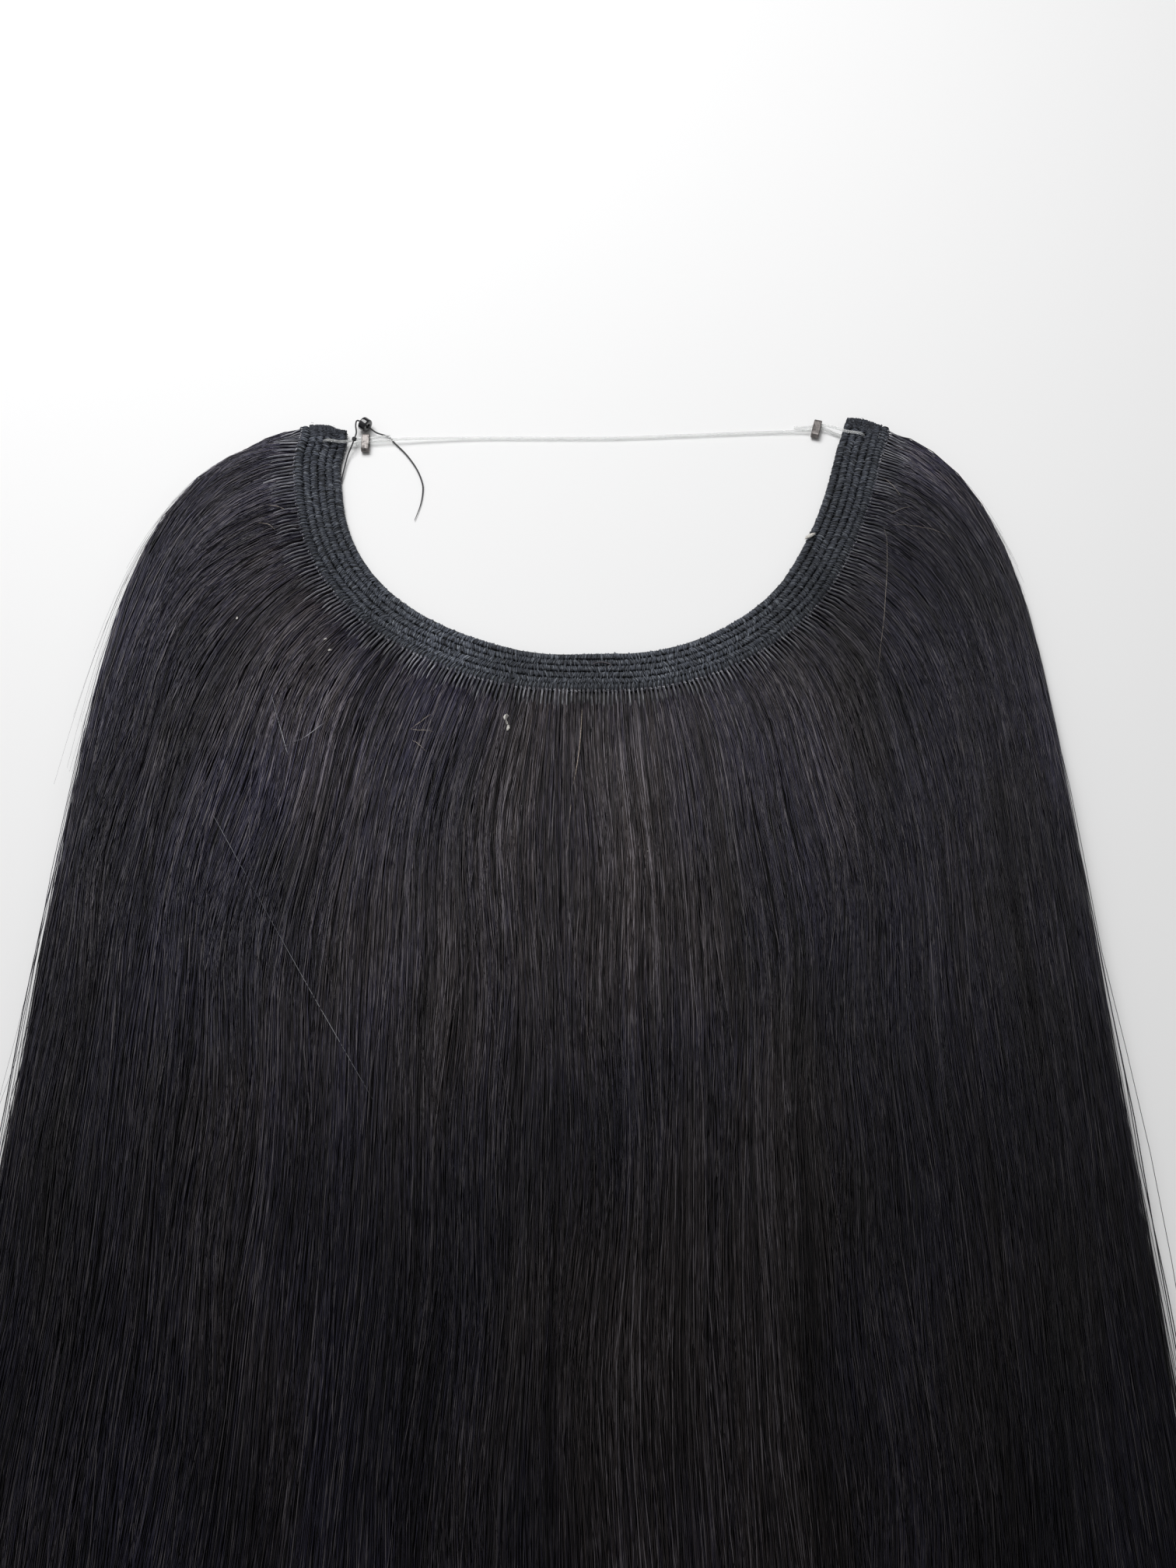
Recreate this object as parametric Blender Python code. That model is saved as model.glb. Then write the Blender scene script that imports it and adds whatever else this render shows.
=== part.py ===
"""Halo hair extension, lying flat: a U-shaped band of stitched weft rows, the hair that leaves
its outer edge, a clear wire across the open end with two crimps, and a bead on a loose thread.

Metres, +Z up, the surface it lies on at z = 0. The band opens towards +Y and the hair runs
towards -Y. Shapes are laid out round the centre of the U, and at the end the whole model is
moved so that the origin is below the middle of the band and hair.
"""

import math

import bmesh
import bpy
import numpy as np
from mathutils import Matrix, Vector

# Band: rows of stitched hair side by side, from the inner edge outwards, then the seam
ROW_COUNT = 5
ROW_WIDTH = 0.0021
ROW_THICKNESS = 0.0020
ROW_CROWN = 0.0006  # how far a row's middle stands above its shoulders
ROW_GAP = 0.0003
SEAM_WIDTH = 0.0024
SEAM_RAISE = 0.0006  # the seam's top above the outermost row
BAND_RADIUS = 0.0920
BAND_LIFT = 0.0004  # underside of the innermost row above the surface
BAND_RISE = 0.0028  # the outer edge rides on the hair, this much higher than the inner
CLEARANCE = 0.0003

# Outline of the band's middle line: angle round the centre from -X by way of -Y, in degrees,
# and the distance from the centre as a share of BAND_RADIUS
OUTLINE = (
    (-4.0, 0.953),
    (0.0, 0.954),
    (3.5, 0.957),
    (8.0, 0.978),
    (15.0, 0.992),
    (30.0, 1.028),
    (45.0, 1.038),
    (60.0, 1.024),
    (75.0, 1.013),
    (90.0, 1.000),
    (105.0, 1.016),
    (120.0, 1.020),
    (135.0, 1.007),
    (150.0, 0.976),
    (164.0, 0.967),
    (173.0, 0.977),
    (178.0, 0.997),
    (184.0, 1.028),
)
FIRST_ANGLE = -0.6
LAST_ANGLE = 181.4

# How far each row and the seam run past the band's two ends, as shares of ROW_WIDTH
ROW_ENDS = (
    # left, right
    (-0.10, 0.70),
    (0.00, 0.80),
    (0.40, 0.70),
    (0.30, 0.40),
    (0.05, -0.05),
    (-0.45, -0.35),
)

# Waves of the inner edge: place along the band and sideways shift as a share of ROW_WIDTH
INNER_EDGE_WAVES = (
    (0.00, 0.00),
    (0.12, 0.00),
    (0.30, -0.12),
    (0.40, 0.00),
    (0.47, -0.28),
    (0.50, 0.05),
    (0.53, 0.18),
    (0.56, -0.05),
    (0.66, 0.00),
    (0.80, 0.10),
    (1.00, 0.00),
)

ROW_STATIONS = 34  # cross-sections along a row, before those round the wire's holes

# Wire: clear nylon, looped through the band near each end and crimped back on itself
WIRE_DIAMETER = 0.0009
WIRE_HOLE_FROM_END = 0.0058
WIRE_HOLE_AFTER_ROW = 3  # the wire comes up between this row and the next
WIRE_BEND_ROOM = 0.0004  # extra room where the wire turns down through the band
END_LIFT_LENGTH = 0.0092  # the band's ends stand clear of the wire over this length
END_LIFT_BLEND = 0.0030

WIRE_ROUTE = (
    # tail at the left crimp, through it and over the band
    (-0.0660, -0.0012, 0.0014),
    (-0.0690, -0.0014, 0.0013),
    (-0.0724, -0.0018, 0.0011),
    (-0.0756, -0.0019, 0.0011),
    (-0.0778, -0.0029, 0.0014),
    (-0.0797, -0.0044, 0.0030),
    (-0.0822, -0.0050, 0.0036),
    (-0.0850, -0.0050, 0.0043),
    (-0.0866, -0.0050, 0.0044),
    # down between the rows and back below the band
    (-0.0876, -0.0050, 0.0034),
    (-0.0876, -0.0050, 0.0016),
    (-0.0868, -0.0050, 0.0006),
    (-0.0850, -0.0049, 0.0005),
    (-0.0800, -0.0044, 0.0005),
    (-0.0779, -0.0040, 0.0009),
    (-0.0756, -0.0034, 0.0011),
    (-0.0724, -0.0033, 0.0011),
    # across the open end
    (-0.0690, -0.0029, 0.0013),
    (-0.0620, -0.0024, 0.0014),
    (-0.0509, -0.0018, 0.0010),
    (-0.0353, -0.0013, 0.0005),
    (-0.0120, -0.0013, 0.0005),
    (0.0098, -0.0012, 0.0005),
    (0.0320, -0.0002, 0.0005),
    (0.0506, 0.0007, 0.0005),
    (0.0655, 0.0013, 0.0005),
    (0.0710, 0.0014, 0.0008),
    (0.0749, 0.0014, 0.0011),
    (0.0778, 0.0021, 0.0011),
    # below the band and up between the rows
    (0.0802, 0.0015, 0.0009),
    (0.0826, 0.0004, 0.0005),
    (0.0890, -0.0019, 0.0005),
    (0.0905, -0.0024, 0.0006),
    (0.0916, -0.0027, 0.0016),
    (0.0916, -0.0027, 0.0034),
    (0.0906, -0.0024, 0.0044),
    # over the band and back through the right crimp
    (0.0889, -0.0018, 0.0043),
    (0.0862, -0.0008, 0.0036),
    (0.0836, 0.0006, 0.0030),
    (0.0803, 0.0029, 0.0015),
    (0.0774, 0.0036, 0.0011),
    (0.0746, 0.0028, 0.0011),
    (0.0717, 0.0029, 0.0008),
    (0.0690, 0.0030, 0.0005),
)

# Crimps: flattened metal rings round both strands of the wire
CRIMP_LENGTH = 0.0026
CRIMP_ACROSS = 0.0070
CRIMP_HEIGHT = 0.0022
CRIMP_WALL = 0.00035
CRIMP_PLACES = (
    # name, x, y, turn about Z in degrees
    ("crimp_left", -0.0741, -0.0037, 0.0),
    ("crimp_right", 0.0764, 0.0020, -15.0),
)

# Bead on its thread: a glossy ring, tied to the wire by a knot
BEAD_DIAMETER = 0.0046
BEAD_LENGTH = 0.0028
BEAD_BORE = 0.0014
BEAD_AT = (-0.0745, 0.0029)
BEAD_TURN = -38.0  # degrees about Z
KNOT_DIAMETER = 0.0017
KNOT_CORD = 0.0004
KNOT_AT = (-0.0776, -0.0036, 0.0032)
KNOT_AIM = (0.25, 0.95, 0.18)

THREAD_DIAMETER = 0.0005
THREAD_ROUTE = (
    # from the band's inner edge, over the wire to the knot
    (-0.0813, -0.0190, 0.0008),
    (-0.0806, -0.0140, 0.0009),
    (-0.0797, -0.0090, 0.0013),
    (-0.0784, -0.0058, 0.0024),
    (-0.0776, -0.0036, 0.0032),
    (-0.0771, -0.0010, 0.0031),
    # round and through the bead
    (-0.0776, 0.0024, 0.0024),
    (-0.0774, 0.0044, 0.0023),
    (-0.0763, 0.0043, 0.0023),
    (-0.0745, 0.0029, 0.0023),
    (-0.0728, 0.0016, 0.0021),
    (-0.0705, 0.0003, 0.0012),
    # its free end, which passes below the wire
    (-0.0667, -0.0006, 0.00025),
    (-0.0644, -0.0033, 0.00025),
    (-0.0603, -0.0080, 0.00025),
    (-0.0568, -0.0135, 0.00025),
    (-0.0547, -0.0189, 0.00025),
    (-0.0543, -0.0228, 0.00025),
    (-0.0549, -0.0281, 0.00025),
    (-0.0565, -0.0339, 0.00025),
)

# Hair: leaves the seam at right angles and bends towards -Y
HAIR_LENGTH = 0.406
HAIR_DEPTH = 0.0080
HAIR_SPREAD = 1.5  # degrees that the outermost hair stays off -Y at the tips
LOCK_COUNT = 26
LOCK_COLUMNS = (
    # share of the lock's width, height as a share of the ridge, length as a share
    (0.00, 0.62, 0.905),
    (0.38, 1.00, 1.000),
    (0.70, 0.86, 0.960),
)
LOCK_LENGTH_SPREAD = 0.060  # how much shorter the shortest lock is, as a share of HAIR_LENGTH
LOCK_WIDTH_SPREAD = 0.90  # how much wider the widest lock is than the narrowest, as a share
LOCK_SEED = 4

# How the hair leaves the band from left to right: place along the band, length over which it
# bends, degrees that it already leans towards -Y at the seam, and depth as a share
BENDS = (
    (0.00, 0.042, 14.0, 0.50),
    (0.03, 0.042, 10.0, 0.80),
    (0.12, 0.046, 3.0, 1.00),
    (0.25, 0.044, 0.0, 1.00),
    (0.50, 0.040, 0.0, 1.00),
    (0.75, 0.036, 0.0, 1.00),
    (0.88, 0.036, 2.0, 1.00),
    (0.97, 0.040, 7.0, 0.80),
    (1.00, 0.040, 8.0, 0.50),
)
BEND_POWER = 1.15

# Slow waves of the hair: degrees either way, wavelength, and turns of phase across the band
WAVE_ANGLE = 3.0
WAVE_LENGTH = 0.190
WAVE_PHASES = 1.7

# Cross-lines of the hair: share of HAIR_LENGTH from the seam, height as a share of HAIR_DEPTH,
# and how much of the locks' relief shows
HAIR_LINES = (
    (0.012, 0.74, 0.10),
    (0.035, 0.84, 0.35),
    (0.075, 0.95, 0.65),
    (0.130, 1.00, 0.85),
    (0.210, 1.00, 1.00),
    (0.320, 0.96, 1.00),
    (0.450, 0.88, 1.00),
    (0.600, 0.76, 1.00),
    (0.760, 0.60, 1.00),
    (0.900, 0.40, 1.00),
    (1.000, 0.16, 0.80),
)

# Worked out from the sizes above
ROW_PITCH = ROW_WIDTH + ROW_GAP
BAND_WIDTH = ROW_COUNT * ROW_PITCH + SEAM_WIDTH
HOLE_OFFSET = WIRE_HOLE_AFTER_ROW * ROW_PITCH - ROW_GAP / 2
WIRE_ROOM = WIRE_DIAMETER / 2 + CLEARANCE

# Colour (linear), roughness, metallic
MATERIALS = {
    "stitched_hair": ((0.040, 0.045, 0.052), 0.75, 0.0),
    "hair_strands": ((0.033, 0.031, 0.036), 0.45, 0.0),
    "clear_nylon": ((0.80, 0.80, 0.78), 0.15, 0.0),
    "crimp_metal": ((0.20, 0.18, 0.18), 0.45, 0.8),
    "bead_gloss": ((0.008, 0.008, 0.010), 0.08, 0.0),
    "thread_black": ((0.05, 0.05, 0.05), 0.60, 0.0),
}


def material(name):
    """Returns the named material, made on first use."""
    found = bpy.data.materials.get(name)
    if found:
        return found
    colour, roughness, metallic = MATERIALS[name]
    made = bpy.data.materials.new(name)
    made.use_nodes = True
    shader = made.node_tree.nodes["Principled BSDF"]
    shader.inputs["Base Color"].default_value = (*colour, 1.0)
    shader.inputs["Roughness"].default_value = roughness
    shader.inputs["Metallic"].default_value = metallic
    return made


def add_object(name, data, material_name, parent):
    """Links an object with its material under the parent."""
    data.materials.append(material(material_name))
    obj = bpy.data.objects.new(name, data)
    bpy.context.scene.collection.objects.link(obj)
    obj.parent = parent
    return obj


def mesh_from(bm, name):
    """Turns a bmesh into a smooth-shaded mesh with its faces pointing out."""
    bmesh.ops.recalc_face_normals(bm, faces=bm.faces[:])
    mesh = bpy.data.meshes.new(name)
    bm.to_mesh(mesh)
    bm.free()
    mesh.shade_smooth()
    mesh.set_sharp_from_angle(angle=math.radians(50))
    return mesh


def column(table, index):
    """Returns one column of a table as an array."""
    return np.array([row[index] for row in table])


def smooth_between(low, high, value):
    """0 below low, 1 above high and a smooth step between them."""
    t = min(1.0, max(0.0, (value - low) / (high - low)))
    return t * t * (3.0 - 2.0 * t)


def smooth_curve(points, steps):
    """Reads a Catmull-Rom curve through the points, with steps parts to each stretch."""
    p = np.array(points, float)
    p = np.vstack([2 * p[0] - p[1], p, 2 * p[-1] - p[-2]])
    out = []
    for i in range(1, len(p) - 2):
        a, b, c, d = p[i - 1 : i + 3]
        for t in np.arange(steps) / steps:
            out.append(
                0.5
                * (
                    2 * b
                    + (c - a) * t
                    + (2 * a - 5 * b + 4 * c - d) * t**2
                    + (3 * b - a - 3 * c + d) * t**3
                )
            )
    out.append(p[-2])
    return np.array(out)


class BandLine:
    """The middle line of the band, by length from its left end."""

    FINE = 361

    def __init__(self):
        angles, shares = column(OUTLINE, 0), column(OUTLINE, 1)
        fine = smooth_curve(np.stack([angles, shares], axis=1), 24)
        angle = np.linspace(FIRST_ANGLE, LAST_ANGLE, self.FINE)
        radius = np.interp(angle, fine[:, 0], fine[:, 1]) * BAND_RADIUS
        turn = np.radians(angle)
        self.points = np.stack([-radius * np.cos(turn), -radius * np.sin(turn)], axis=1)
        step = np.linalg.norm(np.diff(self.points, axis=0), axis=1)
        self.at = np.concatenate([[0.0], np.cumsum(step)])
        self.length = float(self.at[-1])
        along = np.gradient(self.points, self.at, axis=0)
        along /= np.linalg.norm(along, axis=1)[:, None]
        self.along = along

    def place(self, distance):
        """Returns the point, direction and outward normal at a distance, also past the ends."""
        inside = min(max(distance, 0.0), self.length)
        point = np.array([np.interp(inside, self.at, self.points[:, k]) for k in (0, 1)])
        along = np.array([np.interp(inside, self.at, self.along[:, k]) for k in (0, 1)])
        along /= np.linalg.norm(along)
        point = point + along * (distance - inside)
        outward = np.array([along[1], -along[0]])
        return point, along, outward


def underside(offset):
    """Height of the band's underside at an offset from its inner edge."""
    return BAND_LIFT + BAND_RISE * offset / BAND_WIDTH


def hole_places(line):
    """Distances along the band of the wire's two holes."""
    return WIRE_HOLE_FROM_END, line.length - WIRE_HOLE_FROM_END


def row_stations(line, left_end, right_end):
    """Distances along the band at which a row's cross-sections stand."""
    even = np.linspace(-left_end, line.length + right_end, ROW_STATIONS)
    narrow = WIRE_ROOM + WIRE_BEND_ROOM
    extra = []
    for hole in hole_places(line):
        extra += [hole - 2 * narrow, hole - narrow, hole, hole + narrow, hole + 2 * narrow]
    for end in (0.0, line.length):
        inward = 1.0 if end == 0.0 else -1.0
        extra += [
            end + inward * END_LIFT_LENGTH,
            end + inward * (END_LIFT_LENGTH + END_LIFT_BLEND),
        ]
    spacing = min(narrow, line.length / ROW_STATIONS / 2) * 0.9
    kept = [d for d in even if min(abs(d - e) for e in extra) > spacing]
    inside = [e for e in extra if -left_end < e < line.length + right_end]
    return sorted(kept + inside)


def notch_depth(line, distance):
    """How much of a row beside the wire's holes is cut back, from 0 to 1."""
    narrow = WIRE_ROOM + WIRE_BEND_ROOM
    nearest = min(abs(distance - hole) for hole in hole_places(line))
    return 1.0 - smooth_between(narrow, 2 * narrow, nearest)


def row_section(line, index, distance):
    """Returns a row's cross-section at a distance: offsets from the inner edge and heights."""
    inner = index * ROW_PITCH
    outer = inner + ROW_WIDTH
    notch = notch_depth(line, distance)
    if index == WIRE_HOLE_AFTER_ROW - 1:
        outer -= notch * (outer - (HOLE_OFFSET - WIRE_ROOM - WIRE_BEND_ROOM))
    if index == WIRE_HOLE_AFTER_ROW:
        inner += notch * (HOLE_OFFSET + WIRE_ROOM + WIRE_BEND_ROOM / 2 - inner)
    if index == 0:
        wave = np.interp(
            distance / line.length, column(INNER_EDGE_WAVES, 0), column(INNER_EDGE_WAVES, 1)
        )
        inner -= wave * ROW_WIDTH
    from_end = min(distance, line.length - distance)
    lifted = 1.0 - smooth_between(
        END_LIFT_LENGTH, END_LIFT_LENGTH + END_LIFT_BLEND, from_end
    )
    raised = WIRE_DIAMETER + 2 * CLEARANCE
    width = outer - inner
    section = []
    for share, crown in ((0.0, 0.55), (0.12, 0.86), (0.5, 1.0), (0.88, 0.86), (1.0, 0.55)):
        offset = inner + share * width
        top = underside(offset) + ROW_THICKNESS - ROW_CROWN
        section.append((offset, top + ROW_CROWN * (crown - 0.55) / 0.45))
    for share in (1.0, 0.5, 0.0):
        offset = inner + share * width
        low = underside(offset)
        if index < WIRE_HOLE_AFTER_ROW:
            low += lifted * max(0.0, raised - low)
        section.append((offset, low))
    return section


def build_row(line, index, parent):
    """One stitched row of the band, swept along the U."""
    left_end, right_end = (share * ROW_WIDTH for share in ROW_ENDS[index])
    bm = bmesh.new()
    rings = []
    for distance in row_stations(line, left_end, right_end):
        point, _, outward = line.place(distance)
        ring = []
        for offset, height in row_section(line, index, distance):
            at = point + outward * (offset - BAND_WIDTH / 2)
            ring.append(bm.verts.new((at[0], at[1], height)))
        rings.append(ring)
    for first, second in zip(rings, rings[1:]):
        for k in range(len(first)):
            n = (k + 1) % len(first)
            bm.faces.new((first[k], first[n], second[n], second[k]))
    bm.faces.new(rings[0])
    bm.faces.new(rings[-1])
    name = f"weft_row_{index + 1}"
    return add_object(name, mesh_from(bm, name), "stitched_hair", parent)


def hair_path(line, share, reach):
    """Returns the points of a hair from the seam: at the given lengths, in plan."""
    point, _, outward = line.place(share * line.length)
    root = point + outward * (BAND_WIDTH / 2)
    leaves = math.atan2(outward[1], outward[0])
    runs = math.radians(-90.0 + HAIR_SPREAD * (2.0 * share - 1.0))
    turn = (leaves - runs + math.pi) % (2.0 * math.pi) - math.pi
    bend, lean = (np.interp(share, column(BENDS, 0), column(BENDS, k)) for k in (1, 2))
    turn -= math.copysign(math.radians(lean), turn)
    fine = np.linspace(0.0, max(reach), 240)
    angle = runs + turn * np.exp(-((fine / bend) ** BEND_POWER))
    phase = 2.0 * math.pi * (fine / WAVE_LENGTH + WAVE_PHASES * share)
    swing = math.radians(WAVE_ANGLE) * math.sin(math.pi * min(1.0, max(0.0, share)))
    angle += swing * np.sin(phase) * (1.0 - np.exp(-fine / bend))
    step = np.diff(fine)
    middle = 0.5 * (angle[1:] + angle[:-1])
    x = root[0] + np.concatenate([[0.0], np.cumsum(np.cos(middle) * step)])
    y = root[1] + np.concatenate([[0.0], np.cumsum(np.sin(middle) * step)])
    return [(np.interp(r, fine, x), np.interp(r, fine, y)) for r in reach]


def hair_columns():
    """Returns each column of the hair: place along the band, relief and length share."""
    chance = np.random.default_rng(LOCK_SEED)
    lengths = 1.0 - LOCK_LENGTH_SPREAD * chance.random(LOCK_COUNT)
    widths = 1.0 + LOCK_WIDTH_SPREAD * chance.random(LOCK_COUNT)
    starts = np.concatenate([[0.0], np.cumsum(widths)]) / widths.sum()
    columns = []
    for lock in range(LOCK_COUNT):
        start, width = starts[lock], starts[lock + 1] - starts[lock]
        for share, ridge, length in LOCK_COLUMNS:
            columns.append((start + share * width, ridge, length * lengths[lock]))
    _, ridge, length = LOCK_COLUMNS[0]
    columns.append((1.0, ridge, length * lengths[-1]))
    return columns


def seam_lines():
    """Returns the lines along the band below its rows and over the seam: offset and height."""
    backing_start = HOLE_OFFSET + WIRE_ROOM + WIRE_BEND_ROOM / 2
    seam_start = ROW_COUNT * ROW_PITCH
    seam_top = underside(seam_start) + ROW_THICKNESS + SEAM_RAISE
    return (
        (backing_start, underside(backing_start) - CLEARANCE),
        (seam_start - ROW_GAP / 2, underside(seam_start - ROW_GAP) - CLEARANCE),
        (seam_start, seam_top - SEAM_RAISE),
        (seam_start + SEAM_WIDTH / 2, seam_top),
        (BAND_WIDTH, seam_top - SEAM_RAISE / 2),
    )


def build_hair(line, parent):
    """The hair with its seam and its backing below the outer rows, as one solid of locks."""
    bm = bmesh.new()
    tops, bottoms = [], []
    seam_left, seam_right = (share * ROW_WIDTH for share in ROW_ENDS[ROW_COUNT])
    full = line.length + seam_left + seam_right
    for share, ridge, length in hair_columns():
        distance = share * full - seam_left
        point, _, outward = line.place(distance)
        column_points = []
        for offset, height in seam_lines():
            at = point + outward * (offset - BAND_WIDTH / 2)
            column_points.append((at[0], at[1], height))
        reach = [HAIR_LENGTH * length * along for along, _, _ in HAIR_LINES]
        path = hair_path(line, distance / line.length, reach)
        full_depth = HAIR_DEPTH * np.interp(share, column(BENDS, 0), column(BENDS, 3))
        for (x, y), (_, depth, relief) in zip(path, HAIR_LINES):
            height = full_depth * depth * (1.0 - relief * (1.0 - ridge))
            column_points.append((x, y, height))
        tops.append([bm.verts.new(p) for p in column_points])
        bottoms.append([bm.verts.new((x, y, 0.0)) for x, y, _ in column_points])
    for i in range(len(tops) - 1):
        for j in range(len(tops[i]) - 1):
            bm.faces.new((tops[i][j], tops[i + 1][j], tops[i + 1][j + 1], tops[i][j + 1]))
            bm.faces.new(
                (bottoms[i][j], bottoms[i][j + 1], bottoms[i + 1][j + 1], bottoms[i + 1][j])
            )
        for j in (0, -1):
            bm.faces.new((tops[i][j], bottoms[i][j], bottoms[i + 1][j], tops[i + 1][j]))
    for i in (0, -1):
        for j in range(len(tops[i]) - 1):
            bm.faces.new((tops[i][j], tops[i][j + 1], bottoms[i][j + 1], bottoms[i][j]))
    return add_object("hair", mesh_from(bm, "hair"), "hair_strands", parent)


def cord_points(route, diameter, longest, sharpest):
    """Points of a cord's tube, closer together where the smooth route bends."""
    fine = smooth_curve(route, 40)
    points, run, turned = [fine[0]], 0.0, 0.0
    for before, here, after in zip(fine, fine[1:], fine[2:]):
        first, second = here - before, after - here
        run += float(np.linalg.norm(first))
        cosine = first @ second / (np.linalg.norm(first) * np.linalg.norm(second))
        turned += math.degrees(math.acos(min(1.0, cosine)))
        if run > longest * diameter or (turned > sharpest and run > 0.8 * diameter):
            points.append(here)
            run, turned = 0.0, 0.0
    if np.linalg.norm(fine[-1] - points[-1]) < diameter:
        points.pop()
    points.append(fine[-1])
    return points


def build_cord(name, route, diameter, longest, sharpest, material_name, parent):
    """A round cord as a bevelled curve with filled caps."""
    points = cord_points(route, diameter, longest, sharpest)
    curve = bpy.data.curves.new(name, "CURVE")
    curve.dimensions = "3D"
    curve.bevel_depth = diameter / 2
    curve.bevel_resolution = 2
    curve.use_fill_caps = True
    spline = curve.splines.new("POLY")
    spline.points.add(len(points) - 1)
    for spot, at in zip(spline.points, points):
        spot.co = (*at, 1.0)
    return add_object(name, curve, material_name, parent)


def turned_ring(name, profile, segments):
    """A ring turned about X from a closed profile of places along X and radii."""
    bm = bmesh.new()
    outline = [bm.verts.new((x, 0.0, radius)) for x, radius in profile]
    edges = [bm.edges.new((a, b)) for a, b in zip(outline, outline[1:] + outline[:1])]
    bmesh.ops.spin(
        bm,
        geom=outline + edges,
        axis=(1.0, 0.0, 0.0),
        cent=(0.0, 0.0, 0.0),
        angle=2.0 * math.pi,
        steps=segments,
        use_merge=True,
    )
    bmesh.ops.remove_doubles(bm, verts=bm.verts[:], dist=1e-7)
    return mesh_from(bm, name)


def stadium(across, height, corner_steps):
    """Points of an outline with flat top and bottom and round ends, in the YZ plane."""
    radius = height / 2
    straight = across / 2 - radius
    points = []
    for side in (1.0, -1.0):
        for k in range(corner_steps + 1):
            turn = math.pi * k / corner_steps
            points.append((side * (straight + radius * math.sin(turn)), side * radius * math.cos(turn)))
    return points


def build_crimp(name, x, y, turn, parent):
    """A metal ring flattened round the two strands of the wire."""
    steps = 7
    outer = stadium(CRIMP_ACROSS, CRIMP_HEIGHT, steps)
    inner = stadium(CRIMP_ACROSS - 2 * CRIMP_WALL, CRIMP_HEIGHT - 2 * CRIMP_WALL, steps)
    edge = CRIMP_WALL / 2
    half = CRIMP_LENGTH / 2
    softened = stadium(CRIMP_ACROSS - 2 * edge, CRIMP_HEIGHT - 2 * edge, steps)
    profile = (
        (inner, -half),
        (softened, -half),
        (outer, -half + edge),
        (outer, half - edge),
        (softened, half),
        (inner, half),
    )
    bm = bmesh.new()
    rings = [[bm.verts.new((at, py, pz)) for py, pz in outline] for outline, at in profile]
    for first, second in zip(rings, rings[1:] + rings[:1]):
        for k in range(len(first)):
            n = (k + 1) % len(first)
            bm.faces.new((first[k], first[n], second[n], second[k]))
    crimp = add_object(name, mesh_from(bm, name), "crimp_metal", parent)
    crimp.location = (x, y, CRIMP_HEIGHT / 2)
    crimp.rotation_euler.z = math.radians(turn)
    return crimp


def build_bead(parent):
    """The glossy ring on the thread."""
    half, outer, inner = BEAD_LENGTH / 2, BEAD_DIAMETER / 2, BEAD_BORE / 2
    round_over = (outer - inner) * 0.4
    profile = (
        (-half, inner + round_over / 2),
        (-half, outer - round_over),
        (-half + round_over * 0.3, outer - round_over * 0.3),
        (-half + round_over, outer),
        (half - round_over, outer),
        (half - round_over * 0.3, outer - round_over * 0.3),
        (half, outer - round_over),
        (half, inner + round_over / 2),
        (half - round_over / 2, inner),
        (-half + round_over / 2, inner),
    )
    bead = add_object("bead", turned_ring("bead", profile, 14), "bead_gloss", parent)
    bead.location = (*BEAD_AT, BEAD_DIAMETER / 2)
    bead.rotation_euler.z = math.radians(BEAD_TURN)
    return bead


def build_knot(parent):
    """A small knot round the thread, as a ring."""
    major = (KNOT_DIAMETER - KNOT_CORD) / 2
    steps = 6
    profile = [
        (
            KNOT_CORD / 2 * math.sin(2 * math.pi * k / steps),
            major + KNOT_CORD / 2 * math.cos(2 * math.pi * k / steps),
        )
        for k in range(steps)
    ]
    knot = add_object("knot", turned_ring("knot", profile, 12), "thread_black", parent)
    knot.location = KNOT_AT
    knot.rotation_euler = Vector(KNOT_AIM).to_track_quat("X", "Z").to_euler()
    return knot


def middle_below(objects):
    """Returns the point below the middle of the objects' common box."""
    corners = [o.matrix_world @ Vector(c) for o in objects for c in o.bound_box]
    low = [min(c[k] for c in corners) for k in range(3)]
    high = [max(c[k] for c in corners) for k in range(3)]
    return Vector(((low[0] + high[0]) / 2, (low[1] + high[1]) / 2, low[2]))


def build():
    """Builds every piece under one empty at the centre of the U."""
    for obj in list(bpy.data.objects):
        bpy.data.objects.remove(obj, do_unlink=True)
    halo = bpy.data.objects.new("halo", None)
    bpy.context.scene.collection.objects.link(halo)
    line = BandLine()
    rows = [build_row(line, index, halo) for index in range(ROW_COUNT)]
    hair = build_hair(line, halo)
    build_cord("halo_wire", WIRE_ROUTE, WIRE_DIAMETER, 5.0, 24.0, "clear_nylon", halo)
    for name, x, y, turn in CRIMP_PLACES:
        build_crimp(name, x, y, turn, halo)
    build_cord("tag_thread", THREAD_ROUTE, THREAD_DIAMETER, 5.0, 24.0, "thread_black", halo)
    build_bead(halo)
    build_knot(halo)
    bpy.context.view_layer.update()
    halo.matrix_world = Matrix.Translation(-middle_below([*rows, hair]))
    bpy.context.view_layer.update()


build()
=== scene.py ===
"""Looks of the halo hair extension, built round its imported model.

Metres, in the model's own frame. The extension lies on a pale floor at z = 0: the band's open
end faces +Y and the hair runs towards -Y.
"""

import logging
import math
from dataclasses import dataclass
from enum import Enum

import bmesh
import bpy
import numpy as np
from mathutils import Matrix, Vector


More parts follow.
